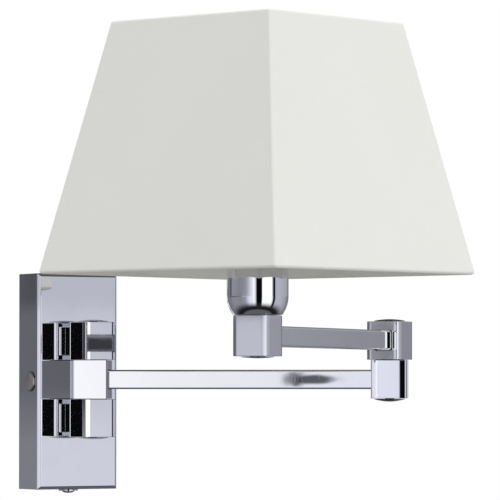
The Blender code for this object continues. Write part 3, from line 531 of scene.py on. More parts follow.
# %% Cloth
shade_cloth, inputs, place = finish("shade_cloth", (0.86, 0.86, 0.84), 0.85)
panels = node(place.id_data, "ShaderNodeUVMap", uv_map="panels").outputs[0]
weave = place_group(plain_weave, panels, threads_per_metre=2100, slub=0.5)
# painted shade of the weave: the raised threads lighter, the dipping ones darker
thread = blend_colours(weave["Shade"], (0.80, 0.80, 0.775, 1), (0.875, 0.875, 0.85, 1))
wire(blend_colours(weave["Tone"], thread, (0.86, 0.86, 0.835, 1)), inputs["Base Color"])
inputs["Sheen Weight"].default_value = 0.15
inputs["Sheen Roughness"].default_value = 0.5
inputs["Specular IOR Level"].default_value = 0.2
raise_surface(inputs, weave["Height"], 0.00006)

# %% Frosted glass
frosted_glass, inputs, place = finish("frosted_glass", (0.93, 0.93, 0.91), 0.45)
frost = place_group(moulded_skin, place, scale=900, base_roughness=0.38, variation=0.15)
wire(frost["Roughness"], inputs["Roughness"])
wire(blend_colours(frost["Mottle"], (0.93, 0.93, 0.91, 1), (0.89, 0.89, 0.875, 1)), inputs["Base Color"])
inputs["Transmission Weight"].default_value = 0.35
inputs["Coat Weight"].default_value = 0.6
inputs["Coat Roughness"].default_value = 0.08
raise_surface(inputs, frost["Height"], 0.000005)
print("finishes:", len(bpy.data.materials))

# %% [markdown]
# ## Tools for modelling
#
# Three ways of working make nearly every piece. A turned piece starts as a circle, which is extruded and
# resized once for each point of its profile, as on a lathe. A block starts as a circle too, but its points
# are moved to a crowned square, because polishing leaves each side of real bar very slightly rounded
# towards its corners, and in a mirror that shows as a soft band beside each edge. Sheet pieces start as a
# cube whose unwanted faces are deleted before the sheet gets its thickness.

# %% Selecting, cutting and finishing


def deselect():
    bpy.ops.object.select_all(action="DESELECT")


def only(piece):
    """Selects this piece alone and makes it active."""
    deselect()
    piece.select_set(True)
    bpy.context.view_layer.objects.active = piece


def edit(piece):
    """Opens the piece in edit mode with everything in it selected."""
    only(piece)
    bpy.ops.object.mode_set(mode="EDIT")
    bpy.ops.mesh.select_all(action="SELECT")


def leave_edit():
    bpy.ops.object.mode_set(mode="OBJECT")


def pick(piece, kind, test):
    """In edit mode, selects the edges or faces that pass the test, and nothing else."""
    bpy.ops.mesh.select_mode(type={"edges": "EDGE", "faces": "FACE"}[kind])
    bpy.ops.mesh.select_all(action="DESELECT")
    mesh = bmesh.from_edit_mesh(piece.data)
    for element in getattr(mesh, kind):
        element.select_set(test(element))
    bmesh.update_edit_mesh(piece.data)


def bevel_edges(piece, test, width, segments, **settings):
    """Bevels the edges of a piece that pass the test."""
    edit(piece)
    pick(piece, "edges", test)
    bpy.ops.mesh.bevel(offset=width, segments=segments, affect="EDGES", **settings)
    leave_edit()


def delete_faces(piece, test):
    """Deletes the faces of a piece that pass the test."""
    edit(piece)
    pick(piece, "faces", test)
    bpy.ops.mesh.delete(type="FACE")
    leave_edit()


def apply_modifier(piece, kind, **settings):
    """Adds a modifier to the piece and applies it at once."""
    only(piece)
    bpy.ops.object.modifier_add(type=kind)
    modifier = piece.modifiers[-1]
    for key, value in settings.items():
        setattr(modifier, key, value)
    bpy.ops.object.modifier_apply(modifier=modifier.name)


def thicken(piece, thickness, offset=0):
    """Gives a sheet its thickness: inwards with offset -1, to both sides with 0."""
    apply_modifier(piece, "SOLIDIFY", thickness=thickness, offset=offset, use_even_offset=True)


def soften_edges(piece, width, segments, angle):
    angle = radians(angle)
    apply_modifier(piece, "BEVEL", width=width, segments=segments, limit_method="ANGLE", angle_limit=angle)


def combine(piece, other, operation="DIFFERENCE"):
    """Cuts the other piece from this one, or joins it on, and removes it."""
    apply_modifier(piece, "BOOLEAN", operation=operation, object=other, solver="EXACT")
    bpy.data.objects.remove(other, do_unlink=True)


def drill(piece, radius, depth, place, turn=(0, 0, 0), sides=48):
    """Cuts a round hole, centred at its place."""
    deselect()
    bpy.ops.mesh.primitive_cylinder_add(
        vertices=sides, radius=radius, depth=depth, location=place, rotation=turn
    )
    combine(piece, bpy.context.object)


def settle(piece, place=(0, 0, 0), turn=(0, 0, 0)):
    """Turns a piece, moves it to its place, and writes both into its mesh."""
    only(piece)
    piece.location = place
    piece.rotation_euler = turn
    bpy.ops.object.transform_apply(location=True, rotation=True, scale=True)


def above(pivot, level=0):
    """The point on a pivot's axis at a level."""
    return (pivot.x, pivot.y, level)


def complete(piece, paint, body, nodes=(), smooth=35):
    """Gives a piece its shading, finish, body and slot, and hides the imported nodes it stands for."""
    only(piece)
    bpy.ops.object.shade_smooth_by_angle(angle=radians(smooth))
    apply_modifier(piece, "WEIGHTED_NORMAL", keep_sharp=True, weight=80)
    piece.data.materials.clear()
    piece.data.materials.append(paint)
    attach(piece, body)
    if nodes:
        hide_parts(*nodes)
    print(f"{piece.name}: {len(piece.data.polygons)} faces")


def plain_box(name, size, place=(0, 0, 0)):
    """A box from a cube, its size written into its mesh."""
    deselect()
    bpy.ops.mesh.primitive_cube_add(size=1)
    piece = bpy.context.object
    piece.name = name
    piece.scale = size
    settle(piece, place)
    return piece


# %% The lathe


def rounded(profile, radius, steps=3, closed=False):
    """The profile with each corner replaced by a small curve."""
    points = []
    count = len(profile)
    for number, corner in enumerate(profile):
        if not closed and number in (0, count - 1):
            points.append(corner)
            continue
        here = Vector((*corner, 0))
        before = Vector((*profile[number - 1], 0)) - here
        after = Vector((*profile[(number + 1) % count], 0)) - here
        reach = min(radius, 0.45 * before.length, 0.45 * after.length)
        first = here + before.normalized() * reach
        last = here + after.normalized() * reach
        for step in range(steps + 1):
            t = step / steps
            point = first * (1 - t) ** 2 + here * 2 * t * (1 - t) + last * t**2
            points.append((point.x, point.y))
    return points


def start_ring(name, radius, height, sides, filled):
    """A circle at a height, open in edit mode, as the lathe's first ring."""
    deselect()
    bpy.ops.mesh.primitive_circle_add(
        vertices=sides, radius=radius, fill_type="NGON" if filled else "NOTHING", location=(0, 0, height)
    )
    piece = bpy.context.object
    piece.name = name
    bpy.ops.object.transform_apply(location=True)
    edit(piece)
    if not filled:
        bpy.ops.mesh.select_mode(type="EDGE")
        bpy.ops.mesh.select_all(action="SELECT")
    return piece


def extrude_rings(profile):
    """Extrudes the selected ring once for each further (radius, height) point, and resizes it there."""
    for (radius, height), (next_radius, next_height) in zip(profile, profile[1:]):
        bpy.ops.mesh.extrude_region_move(
            TRANSFORM_OT_translate={"value": (0, 0, next_height - height)}
        )
        share = next_radius / radius
        bpy.ops.transform.resize(value=(share, share, 1), center_override=(0, 0, next_height))


def close_rings():
    """Merges the last ring onto the first, turns the normals outwards and leaves edit mode."""
    bpy.ops.mesh.select_all(action="SELECT")
    bpy.ops.mesh.remove_doubles(threshold=0.000001)
    bpy.ops.mesh.normals_make_consistent(inside=False)
    leave_edit()


def turn_solid(name, profile, sides=96):
    """A turned solid: the first point's circle is filled, and so is the last one's."""
    piece = start_ring(name, *profile[0], sides, True)
    extrude_rings(profile)
    close_rings()
    return piece


def turn_ring(name, profile, sides=96):
    """A turned ring: its profile is a closed loop, clear of the axis."""
    piece = start_ring(name, *profile[0], sides, False)
    extrude_rings([*profile, profile[0]])
    close_rings()
    return piece


def flat_ring(inner, outer, low, high):
    return [(inner, low), (outer, low), (outer, high), (inner, high)]


def arc(radius, centre_out, centre_up, angles):
    """Points on a circle, at angles in degrees from straight outwards."""
    return [
        (centre_out + radius * cos(radians(angle)), centre_up + radius * sin(radians(angle)))
        for angle in angles
    ]


# %% Crowned bar
CROWN = (0.6 * MM, 3.6 * MM)  # how far a side's middle stands out, and the band that falls away by a corner
WIDE_CROWN = (0.6 * MM, 4.9 * MM)
CRISP = (0.1 * MM, 1.2 * MM)
CROWN_STEPS = 10


def crowned_section(half, rise, band):
    """The bar's section, as a loop of points, anticlockwise from the middle of the +X side."""
    side = [(0, half + rise)] + [
        (half - band + band * step / CROWN_STEPS, half + rise - rise * (step / CROWN_STEPS) ** 2)
        for step in range(CROWN_STEPS + 1)
    ]
    quarter = [(out, along) for along, out in side] + [(along, out) for along, out in reversed(side[1:-1])]
    return [
        (x * cos(turn) - y * sin(turn), x * sin(turn) + y * cos(turn))
        for turn in (0, pi / 2, pi, 3 * pi / 2)
        for x, y in quarter
    ]


def crowned_block(name, half, low, high, shape):
    """A length of crowned square bar, upright, with small edges all round."""
    section = crowned_section(half, *shape)
    piece = start_ring(name, half, 0, len(section), True)
    leave_edit()
    for vertex, (x, y) in zip(piece.data.vertices, section):
        vertex.co.x, vertex.co.y = x, y
    edit(piece)
    bpy.ops.transform.translate(value=(0, 0, low))
    bpy.ops.mesh.extrude_region_move(TRANSFORM_OT_translate={"value": (0, 0, high - low)})
    close_rings()
    soften_edges(piece, 0.35 * MM, 3, 35)
    return piece


print("modelling tools ready")

# %% [markdown]
# ## The wall box
#
# The cover is a drawn shell, open at the back, with one straight chamfer round its front. A cube with its
# front edges bevelled once gives the chamfer, its back face is deleted, and Solidify gives the sheet its
# thickness inwards, so the outside keeps its size. The edges get a second, very small bevel: a mirror with
# a perfectly sharp edge looks drawn, and a real one always shows a hair of light or dark along it.

# %% Cover of the wall box
cover_low, cover_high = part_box("box_cover")
cover_size = cover_high - cover_low
CHAMFER = 2 * MM
SHEET = 1.5 * MM
NEAR = 0.1 * MM  # how close counts as lying on a face

cover = plain_box("box_shell", cover_size, (cover_low + cover_high) / 2)
front = cover_low.y + NEAR
back = cover_high.y - NEAR
bevel_edges(cover, lambda edge: all(vertex.co.y < front for vertex in edge.verts), CHAMFER, 1)
delete_faces(cover, lambda face: face.calc_center_median().y > back)
thicken(cover, SHEET, -1)
soften_edges(cover, 0.4 * MM, 3, 25)

ALONG_Y = (pi / 2, 0, 0)
ALONG_X = (0, pi / 2, 0)
upper_level = sum(corner.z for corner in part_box("knuckle_upper")) / 2
lower_level = sum(corner.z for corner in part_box("knuckle_lower")) / 2
side_screw_low, side_screw_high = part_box("side_screw_left")
screw_y = (side_screw_low.y + side_screw_high.y) / 2
switch_low, switch_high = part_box("switch_collar")
switch_y = (switch_low.y + switch_high.y) / 2
GAP = 0.3 * MM
NIPPLE_HOLE = 4.3 * MM
SCREW_HOLE = 2.8 * MM
SWITCH_HOLE = 5.9 * MM
SWITCH_NECK = SWITCH_HOLE - GAP
drill(cover, SCREW_HOLE, 2 * cover_size.x, (0, screw_y, 0), ALONG_X)
drill(cover, NIPPLE_HOLE, 4 * SHEET, (0, cover_low.y, upper_level), ALONG_Y)
drill(cover, SCREW_HOLE, 4 * SHEET, (0, cover_low.y, lower_level), ALONG_Y)
drill(cover, SWITCH_HOLE, 4 * SHEET, (0, switch_y, cover_low.z))
complete(cover, chrome_sheet, "wall_unit", ["box_cover"], 20)

# %% [markdown]
# The cover is held by one low domed screw in each side, turned on the lathe and laid on its side. Under the
# box sits a small push switch: a rim that clamps it, and a domed button that slides in the rim.

# %% Side screws, switch rim and button
SCREW_HEAD = (side_screw_high.z - side_screw_low.z) / 2
DOME_RISE = 1.9 * MM
HEAD_RIM = 0.75 * MM
SHANK = 2.5 * MM
for side, sign in (("left", -1), ("right", 1)):
    low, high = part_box(f"side_screw_{side}")
    head_face = sign * max(abs(low.x), abs(high.x)) - sign * DOME_RISE
    shank_length = (high.x - low.x) - DOME_RISE
    profile = [(SHANK, -shank_length), (SHANK, 0), (SCREW_HEAD, 0), (SCREW_HEAD, 0.55 * MM)]
    profile += [
        (0.95 * SCREW_HEAD * cos(radians(angle)), HEAD_RIM + (DOME_RISE - HEAD_RIM) * sin(radians(angle)))
        for angle in (4, 14, 26, 38, 50, 62, 74, 84, 88)
    ]
    screw = turn_solid(f"cover_screw_{side}", rounded(profile, 0.12 * MM, 2), 64)
    settle(screw, (head_face, screw_y, 0), (0, sign * pi / 2, 0))
    complete(screw, screw_metal, "wall_unit", [f"side_screw_{side}"])

button_low, button_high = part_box("switch_button")
BUTTON = (button_high.x - button_low.x) / 2
COLLAR = (switch_high.x - switch_low.x) / 2
rim_face = cover_low.z - GAP
rim_profile = [
    (BUTTON + GAP, switch_low.z),
    (COLLAR, switch_low.z),
    (COLLAR, rim_face),
    (SWITCH_NECK, rim_face),
    (SWITCH_NECK, switch_high.z),
    (BUTTON + GAP, switch_high.z),
]
rim = turn_ring("switch_rim", rounded(rim_profile, 0.3 * MM, 3, closed=True), 64)
settle(rim, (0, switch_y, 0))
complete(rim, chrome_turned, "wall_unit", ["switch_collar"])

BUTTON_DOME = 1.5 * MM
dome = [
    (BUTTON * cos(radians(angle)), button_low.z + BUTTON_DOME * (1 - sin(radians(angle))))
    for angle in (0, 15, 30, 45, 58, 70, 80, 87)
]
button = turn_solid("push_button", [(BUTTON, button_high.z), *dome], 64)
settle(button, (0, switch_y, 0))
complete(button, chrome_turned, "switch_plunger", ["switch_button"])

# %% [markdown]
# Behind the cover a steel strap is screwed to the wall. It is seen only from the back, so it stays simple:
# a plate with two lugs joined on, two slots with round ends for the wall screws, and holes for supply and
# earth.

# %% Wall strap
strap_low, strap_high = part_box("wall_bracket")
STRAP_THICKNESS = 2 * MM
STRAP_WIDTH = strap_high.x - strap_low.x
LUG_HEIGHT = 18 * MM
CUT = 8 * MM  # deep enough to go right through the plate


def round_ended(name, size, place):
    """A box whose short sides, seen along Y, are half round."""
    piece = plain_box(name, size, place)
    radius = 0.499 * min(size[0], size[2])
    bevel_edges(piece, lambda edge: abs(edge.verts[0].co.y - edge.verts[1].co.y) > size[1] / 2, radius, 8)
    return piece


plate_y = -STRAP_THICKNESS / 2
strap_height = strap_high.z - strap_low.z
strap = plain_box("wall_strap", (STRAP_WIDTH, STRAP_THICKNESS, strap_height), (0, plate_y, 0))
lug_reach = -strap_low.y
for sign in (-1, 1):
    lug = plain_box(
        "lug", (STRAP_THICKNESS, lug_reach, LUG_HEIGHT),
        (sign * (STRAP_WIDTH - STRAP_THICKNESS) / 2, -lug_reach / 2, 0),
    )
    combine(strap, lug, "UNION")
soften_edges(strap, 0.35 * MM, 2, 50)
for sign in (-1, 1):
    combine(strap, round_ended("slot", (14 * MM, CUT, 5 * MM), (0, plate_y, sign * 60 * MM)))
drill(strap, 9 * MM, CUT, (0, plate_y, 24 * MM), ALONG_Y)
drill(strap, 2.3 * MM, CUT, (-15 * MM, plate_y, -32 * MM), ALONG_Y)
drill(strap, SCREW_HOLE, 2 * STRAP_WIDTH, (0, screw_y, 0), ALONG_X)
complete(strap, zinc, "wall_unit", ["wall_bracket"])

# %% [markdown]
# ## Hinge blocks and arms
#
# All the blocks are cut from the same square bar. Each is bored for its pivot tube, and the four that carry
# an arm have a pocket for its end. Two short square spacers hold the fixed blocks off the box. The lids
# that close the pivots are low domed discs in a darker copy of the chrome, painted shade for the dark
# reflections they show, and thin black washers keep the blocks apart.

# %% Blocks
BLOCK_HALF = 12 * MM
BORE = 5.3 * MM
ARM_SIDE = 13.5 * MM
ARM_EDGE = 1.5 * MM
POCKET = 4 * MM
POCKET_RIM = 0.7 * MM
WASHER = 10 * MM
OVER = 0.3 * MM  # how far a block's rim reaches over the washer beside it
LAMP_RISE = 0.5 * MM  # the far end of the upper arm stands this much higher


def square_bar(name, length, side, edge):
    """A solid bar along X, centred, with its four long edges rounded."""
    bar = plain_box(name, (length, side, side))
    bevel_edges(bar, lambda line: abs(line.verts[0].co.x - line.verts[1].co.x) > length / 2, edge, 6)
    return bar


def cut_pocket(block, side, level, crown):
    """The pocket for an arm's end in the side along X, -1 or 1, with a small rounded rim."""
    face = side * (BLOCK_HALF + crown)
    cutter = square_bar("pocket", 2 * (POCKET + crown), ARM_SIDE + 2 * GAP, ARM_EDGE + GAP)
    settle(cutter, (face, 0, level))
    combine(block, cutter)
    near = ARM_SIDE / 2 + 2 * GAP

    def on_rim(edge):
        return all(
            abs(end.co.x - face) < 0.1 * NEAR and abs(end.co.y) < near and abs(end.co.z - level) < near
            for end in edge.verts
        )

    bevel_edges(block, on_rim, POCKET_RIM, 3, clamp_overlap=True)


def hinge_block(
    name, node_name, place, turn, body, pocket=0, back_hole=None, over=(0, 0), rise=0, shape=CROWN
):
    """A crowned block on a pivot; over says how far each end reaches over a washer."""
    low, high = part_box(node_name)
    bottom = low.z + rise - over[0]
    top = high.z + rise + over[1]
    level = (low.z + high.z) / 2
    block = crowned_block(name, BLOCK_HALF, bottom, top, shape)
    drill(block, BORE, 2 * (high.z - low.z), (0, 0, level))
    for end, depth in ((bottom, over[0]), (top, over[1] + rise)):
        if depth:
            drill(block, WASHER + GAP, 2 * depth, (0, 0, end), sides=64)
    if pocket:
        cut_pocket(block, pocket, level + rise, shape[0])
    if back_hole:
        drill(block, back_hole, BLOCK_HALF, (0, BLOCK_HALF, level), ALONG_Y)
    settle(block, above(place), (0, 0, turn))
    complete(block, chrome_block, body, [node_name], 30)


hinge_block(
    "fixed_block_upper", "knuckle_upper", SWING, 0, "wall_unit", back_hole=NIPPLE_HOLE, over=(OVER, 0),
)
hinge_block(
    "fixed_block_lower", "knuckle_lower", SWING, 0, "wall_unit", back_hole=SCREW_HOLE, over=(0, OVER),
)
hinge_block(
    "swing_block", "knuckle_middle", SWING, LOWER_TURN, "lower_arm", 1, over=(OVER, OVER), shape=CRISP,
)
hinge_block(
    "elbow_block_low", "elbow_block_lower", ELBOW, LOWER_TURN, "lower_arm", -1, over=(0, OVER),
    shape=WIDE_CROWN,
)
hinge_block("elbow_block_high", "elbow_block_upper", ELBOW, UPPER_TURN, "upper_arm", 1, over=(OVER, 0))
hinge_block(
    "lamp_end_block", "lamp_block", LAMP, UPPER_TURN, "upper_arm", -1, over=(0, 0.2 * MM), rise=LAMP_RISE,
)

# %% Spacers between the box and the fixed blocks
for side, level, hole in (("upper", upper_level, NIPPLE_HOLE), ("lower", lower_level, SCREW_HOLE)):
    low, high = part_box(f"stem_{side}")
    half_length = (high.y - low.y) / 2
    spacer = crowned_block(f"spacer_{side}", (high.x - low.x) / 2, -half_length, half_length, CRISP)
    drill(spacer, hole, 4 * (high.y - low.y), (0, 0, 0))
    settle(spacer, (0, (low.y + high.y) / 2, level), ALONG_Y)
    complete(spacer, chrome_block, "wall_unit", [f"stem_{side}"], 30)

# %% Arms
ARM_WALL = 1.1 * MM


def arm(name, node_name, start, end, body, rise=0):
    """A square tube: the bar without its end faces, given a wall inwards."""
    low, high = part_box(node_name)
    span = Vector((end.x - start.x, end.y - start.y))
    length = span.length - 2 * (BLOCK_HALF - POCKET)
    tube = square_bar(name, length, ARM_SIDE, ARM_EDGE)
    delete_faces(tube, lambda face: abs(face.normal.x) > 0.9)
    thicken(tube, ARM_WALL, -1)
    middle = above((start + end) / 2, (low.z + high.z) / 2 + rise / 2)
    settle(tube, middle, (0, -asin(rise / length), atan2(span.y, span.x)))
    complete(tube, chrome_bar, body, [node_name], 30)


arm("lower_bar", "lower_arm_tube", SWING, ELBOW, "lower_arm")
arm("upper_bar", "upper_arm_tube", ELBOW, LAMP, "upper_arm", LAMP_RISE)

# %% Lids and washers
LID = 10.8 * MM
SPIGOT = 3.2 * MM
SPIGOT_LENGTH = 5 * MM
LID_RIM = 0.3 * MM


def lid(name, node_name, place, upward, body, rise=0):
    """A shallow dome on a spigot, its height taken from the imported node."""
    low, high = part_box(node_name)
    height = high.z - low.z - SPIGOT_LENGTH
    shares = (0.97, 0.9, 0.8, 0.65, 0.45, 0.25, 0.1)
    dome = [(LID * share, LID_RIM + (height - LID_RIM) * (1 - share**2)) for share in shares]
    edge = [(SPIGOT, -SPIGOT_LENGTH), (SPIGOT, 0), (LID, 0), (LID, 0.6 * LID_RIM)]
    disc = turn_solid(name, [*edge, *dome])
    base = high.z - height if upward else low.z + height
    settle(disc, above(place, base + rise), (0 if upward else pi, 0, 0))
    # the lids take the darker copy of the chrome, which is painted shade
    complete(disc, chrome_dark, body, [node_name])


for name, node_name, place, upward, body, rise in (
    ("hinge_lid_top", "hinge_cap_top", SWING, True, "wall_unit", 0),
    ("hinge_lid_bottom", "hinge_cap_bottom", SWING, False, "wall_unit", 0),
    ("elbow_lid_top", "elbow_cap_top", ELBOW, True, "lower_arm", 0),
    ("elbow_lid_bottom", "elbow_cap_bottom", ELBOW, False, "lower_arm", 0),
    ("lamp_lid", "lamp_cap", LAMP, False, "lamp_head", LAMP_RISE),
):
    lid(name, node_name, place, upward, body, rise)

for name, node_name, place, body in (
    ("spacing_washer_upper", "hinge_washer_upper", SWING, "wall_unit"),
    ("spacing_washer_lower", "hinge_washer_lower", SWING, "wall_unit"),
    ("spacing_washer_elbow", "elbow_washer", ELBOW, "lower_arm"),
    ("spacing_washer_lamp", "lamp_washer", LAMP, "lamp_head"),
):
    low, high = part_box(node_name)
    ring = flat_ring(BORE, (high.x - low.x) / 2, low.z, high.z)
    washer = turn_ring(name, rounded(ring, 0.08 * MM, 2, closed=True), 64)
    settle(washer, above(place))
    complete(washer, nylon, body, [node_name])

# %% [markdown]
# ## The lamp holder
#
# The polished cup is a deep drawn shell: a straight wall that bends in to a flat seat on the block. In it
# stands the glazed socket with a coarse thread round its skirt, and two ribbed rings on that thread clamp
# the shade's carrier. The frosted bulb stands in the socket. Little of this shows from outside, but it is
# seen from above.

# %% Cup
cup_low, cup_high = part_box("holder_cup")
CUP = (cup_high.x - cup_low.x) / 2
CUP_SEAT = 15.9 * MM
CUP_WALL = 1.2 * MM
CUP_TURN = cup_low.z + 11.8 * MM  # where the straight wall begins to bend
CUP_EDGE = 0.3 * MM


def cup_bend(radius, bottom, seat, steps=14):
    """Points down the cup's bend, from its straight wall to its seat."""
    drop = CUP_TURN - bottom
    inward = radius - seat
    bend = (drop**2 + inward**2) / (2 * inward)
    last = asin(drop / bend)
    return [
        (radius - bend * (1 - cos(last * step / steps)), CUP_TURN - bend * sin(last * step / steps))
        for step in range(steps + 1)
    ]


outside = cup_bend(CUP, cup_low.z, CUP_SEAT)
inside = cup_bend(CUP - CUP_WALL, cup_low.z + CUP_WALL, CUP_SEAT - CUP_WALL)
cup_profile = [
    (CUP - CUP_WALL, cup_high.z),
    (CUP - CUP_EDGE, cup_high.z),
    (CUP, cup_high.z - CUP_EDGE),
    *outside[:-1],
    *rounded([outside[-2], outside[-1], (BORE, cup_low.z)], 0.5 * MM)[1:-1],
    (BORE, cup_low.z),
    (BORE, cup_low.z + CUP_WALL),
    *reversed(inside),
]
cup = turn_ring("holder_shell", cup_profile, 128)
settle(cup, above(LAMP))
complete(cup, chrome_turned, "lamp_head", ["holder_cup"], 40)

# %% Socket with its thread
socket_low, socket_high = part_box("socket_body")
SKIRT = (socket_high.x - socket_low.x) / 2
SOCKET_BODY = 17.5 * MM
SOCKET_BORE = 14.3 * MM
SOCKET_FLOOR = socket_low.z + 15 * MM
skirt_low = cup_high.z + GAP
THREAD_PITCH = 2.5 * MM
THREAD_DEPTH = 0.55 * MM
socket_profile = [
    (BORE, socket_low.z),
    (SOCKET_BODY, socket_low.z),
    (SOCKET_BODY, skirt_low),
    (SKIRT, skirt_low),
]
level = skirt_low + 1.2 * MM
while level + THREAD_PITCH < socket_high.z - 0.6 * MM:
    socket_profile += [
        (SKIRT, level),
        (SKIRT - THREAD_DEPTH, level + 0.35 * THREAD_PITCH),
        (SKIRT - THREAD_DEPTH, level + 0.55 * THREAD_PITCH),
        (SKIRT, level + 0.9 * THREAD_PITCH),
    ]
    level += THREAD_PITCH
socket_profile += [
    (SKIRT, socket_high.z),
    (SOCKET_BORE, socket_high.z),
    (SOCKET_BORE, SOCKET_FLOOR),
    (BORE, SOCKET_FLOOR),
]
socket = turn_ring("glazed_socket", rounded(socket_profile, 0.25 * MM, 2, closed=True), 72)
settle(socket, above(LAMP))
complete(socket, porcelain, "lamp_head", ["socket_body"])

# %% Ribbed clamp rings
RIBS = 24


def on_rib(face, radius):
    """True for every other pair of the faces round the outside."""
    middle = face.calc_center_median()
    number = round(atan2(middle.y, middle.x) * 4 * RIBS / (2 * pi) - 0.5)
    return hypot(middle.x, middle.y) > radius - NEAR and number % 4 < 2


for place_name in ("lower", "upper"):
    low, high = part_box(f"shade_ring_{place_name}")
    outer = (high.x - low.x) / 2
    profile = flat_ring(SKIRT + GAP, outer, low.z, high.z)
    ring = turn_ring(f"clamp_ring_{place_name}", rounded(profile, 0.5 * MM, 2, closed=True), 4 * RIBS)
    edit(ring)
    pick(ring, "faces", lambda face: on_rib(face, outer))
    bpy.ops.mesh.inset(thickness=0.25 * MM, depth=-0.6 * MM, use_individual=False)
    leave_edit()
    settle(ring, above(LAMP))
    complete(ring, porcelain, "lamp_head", [f"shade_ring_{place_name}"])

# %% Bulb
glass_low, glass_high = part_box("bulb_glass")
bulb_cap_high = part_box("bulb_cap")[1].z
GLOBE = (glass_high.x - glass_low.x) / 2
NECK = 13.2 * MM
NECK_IN_CAP = 12 * MM
GLASS_WALL = 0.8 * MM
globe_centre = glass_high.z - GLOBE
shoulder = socket_high.z + 0.8 * MM
LEAVES_GLOBE = -36  # degrees below the globe's middle
joint_point = Vector(arc(GLOBE, 0, globe_centre, [LEAVES_GLOBE])[0])
bend_point = Vector((joint_point.x - 6.5 * MM, shoulder + 0.2 * MM))
neck_point = Vector((NECK, shoulder))
flare = [
    tuple(neck_point * (1 - t) ** 2 + bend_point * 2 * t * (1 - t) + joint_point * t**2)
    for t in (step / 8 for step in range(9))
]
globe = arc(GLOBE, 0, globe_centre, [*range(LEAVES_GLOBE + 6, 90, 6), 89])
bulb_profile = [
    (NECK_IN_CAP, glass_low.z),
    (NECK_IN_CAP, bulb_cap_high + 0.2 * MM),
    (NECK, bulb_cap_high + 1 * MM),
    (NECK, shoulder - 1 * MM),
    *flare,
    *globe,
]
bulb = start_ring("frosted_bulb", *bulb_profile[0], 72, False)
extrude_rings(bulb_profile)
bpy.ops.mesh.merge(type="CENTER")
close_rings()
apply_modifier(bulb, "SOLIDIFY", thickness=GLASS_WALL, offset=-1)
settle(bulb, above(LAMP))
complete(bulb, frosted_glass, "lamp_head", ["bulb_glass"], 60)

# %% [markdown]
# ## The shade
#
# Cloth is glued to a stiff film, and its edges are rolled over a square wire at the top and at the bottom,
# which is what gives the shade its full, soft rims. The whole cloth is one long path: from inside the lower
# rim, under the wire, up the outside, over the upper wire and a little way down inside. The path is
# extruded ring by ring from a square with small round corners, like a lathe for a square, and Solidify
# makes it cloth.

# %% Shade sizes
skin_low, skin_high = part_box("shade_skin")
SHADE_TURN = radians(19.3)
SHADE_FOOT = skin_low.z
SHADE_TOP = skin_high.z
SHADE_HEIGHT = SHADE_TOP - SHADE_FOOT
BOTTOM_HALF = 101 * MM
TOP_HALF = 67.5 * MM
CLOTH = 0.4 * MM
ROLL = 1.9 * MM  # half the thickness of a rolled rim
HEM = 7 * MM
WIRE = 1.2 * MM
slope = atan2(BOTTOM_HALF - TOP_HALF, SHADE_HEIGHT)


def half_at(level):
    """Half the shade's outer width at a height."""
    return BOTTOM_HALF + (TOP_HALF - BOTTOM_HALF) * (level - SHADE_FOOT) / SHADE_HEIGHT


def square_rings(name, profile, corner):
    """Like the lathe, but from a square with small round corners; the profile gives half widths."""
    half, level = profile[0]
    deselect()
    bpy.ops.mesh.primitive_plane_add(size=2 * half, location=(0, 0, level))
    piece = bpy.context.object
    piece.name = name
    bpy.ops.object.transform_apply(location=True)
    edit(piece)
    bpy.ops.mesh.delete(type="ONLY_FACE")
    bpy.ops.mesh.select_mode(type="VERT")
    bpy.ops.mesh.select_all(action="SELECT")
    bpy.ops.mesh.bevel(offset=corner, segments=5, affect="VERTICES")
    bpy.ops.mesh.select_mode(type="EDGE")
    bpy.ops.mesh.select_all(action="SELECT")
    extrude_rings(profile)
    close_rings()
    return piece


def roll(middle_half, middle_level, start, end, steps=8):
    """Points round a rolled rim, in degrees from straight outwards."""
    angles = [start + (end - start) * step / steps for step in range(steps + 1)]
    return arc(ROLL - CLOTH / 2, middle_half, middle_level, angles)


# %% Cloth cover
lean = degrees(slope)
low_level = SHADE_FOOT + ROLL
high_level = SHADE_TOP - ROLL
low_middle = half_at(low_level) - ROLL / cos(slope)
high_middle = half_at(high_level) - ROLL / cos(slope)
lower_roll = roll(low_middle, low_level, -180 + lean, lean)
upper_roll = roll(high_middle, high_level, lean, 180 + lean)
inner_low = (low_middle - ROLL / 2 - HEM * sin(slope), low_level + HEM)
inner_high = (high_middle - ROLL / 2 + HEM * sin(slope), high_level - HEM)
panel_rows = 6
panel_foot = Vector(lower_roll[-1])
panel_rise = Vector(upper_roll[0]) - panel_foot
panel = [tuple(panel_foot + panel_rise * row / panel_rows) for row in range(1, panel_rows)]
cloth_path = [inner_low, *lower_roll, *panel, *upper_roll, inner_high]
shade_cover = square_rings("shade_cover", cloth_path, 1.8 * MM)
thicken(shade_cover, CLOTH)


def lay_out_panels(piece, name):
    """A UV map in metres: across each panel, and up its slope."""
    chart = piece.data.uv_layers.new(name=name)
    for face in piece.data.polygons:
        across = 1 if abs(face.normal.x) > abs(face.normal.y) else 0
        for loop in face.loop_indices:
            point = piece.data.vertices[piece.data.loops[loop].vertex_index].co
            chart.data[loop].uv = (point[across], point.z / cos(slope))


lay_out_panels(shade_cover, "panels")
settle(shade_cover, above(LAMP), (0, 0, SHADE_TURN))
complete(shade_cover, shade_cloth, "lamp_head", ["shade_skin"], 40)

# %% Stiff film inside the cloth
FILM = 0.5 * MM
film_inset = (CLOTH + FILM / 2 + 0.1 * MM) / cos(slope)
film_low = low_level + 1 * MM
film_high = high_level - 1 * MM
film_path = [(half_at(level) - film_inset, level) for level in (film_low, film_high)]
film = square_rings("shade_film", film_path, 1.5 * MM)
thicken(film, FILM)
settle(film, above(LAMP), (0, 0, SHADE_TURN))
complete(film, liner_film, "lamp_head", (), 40)


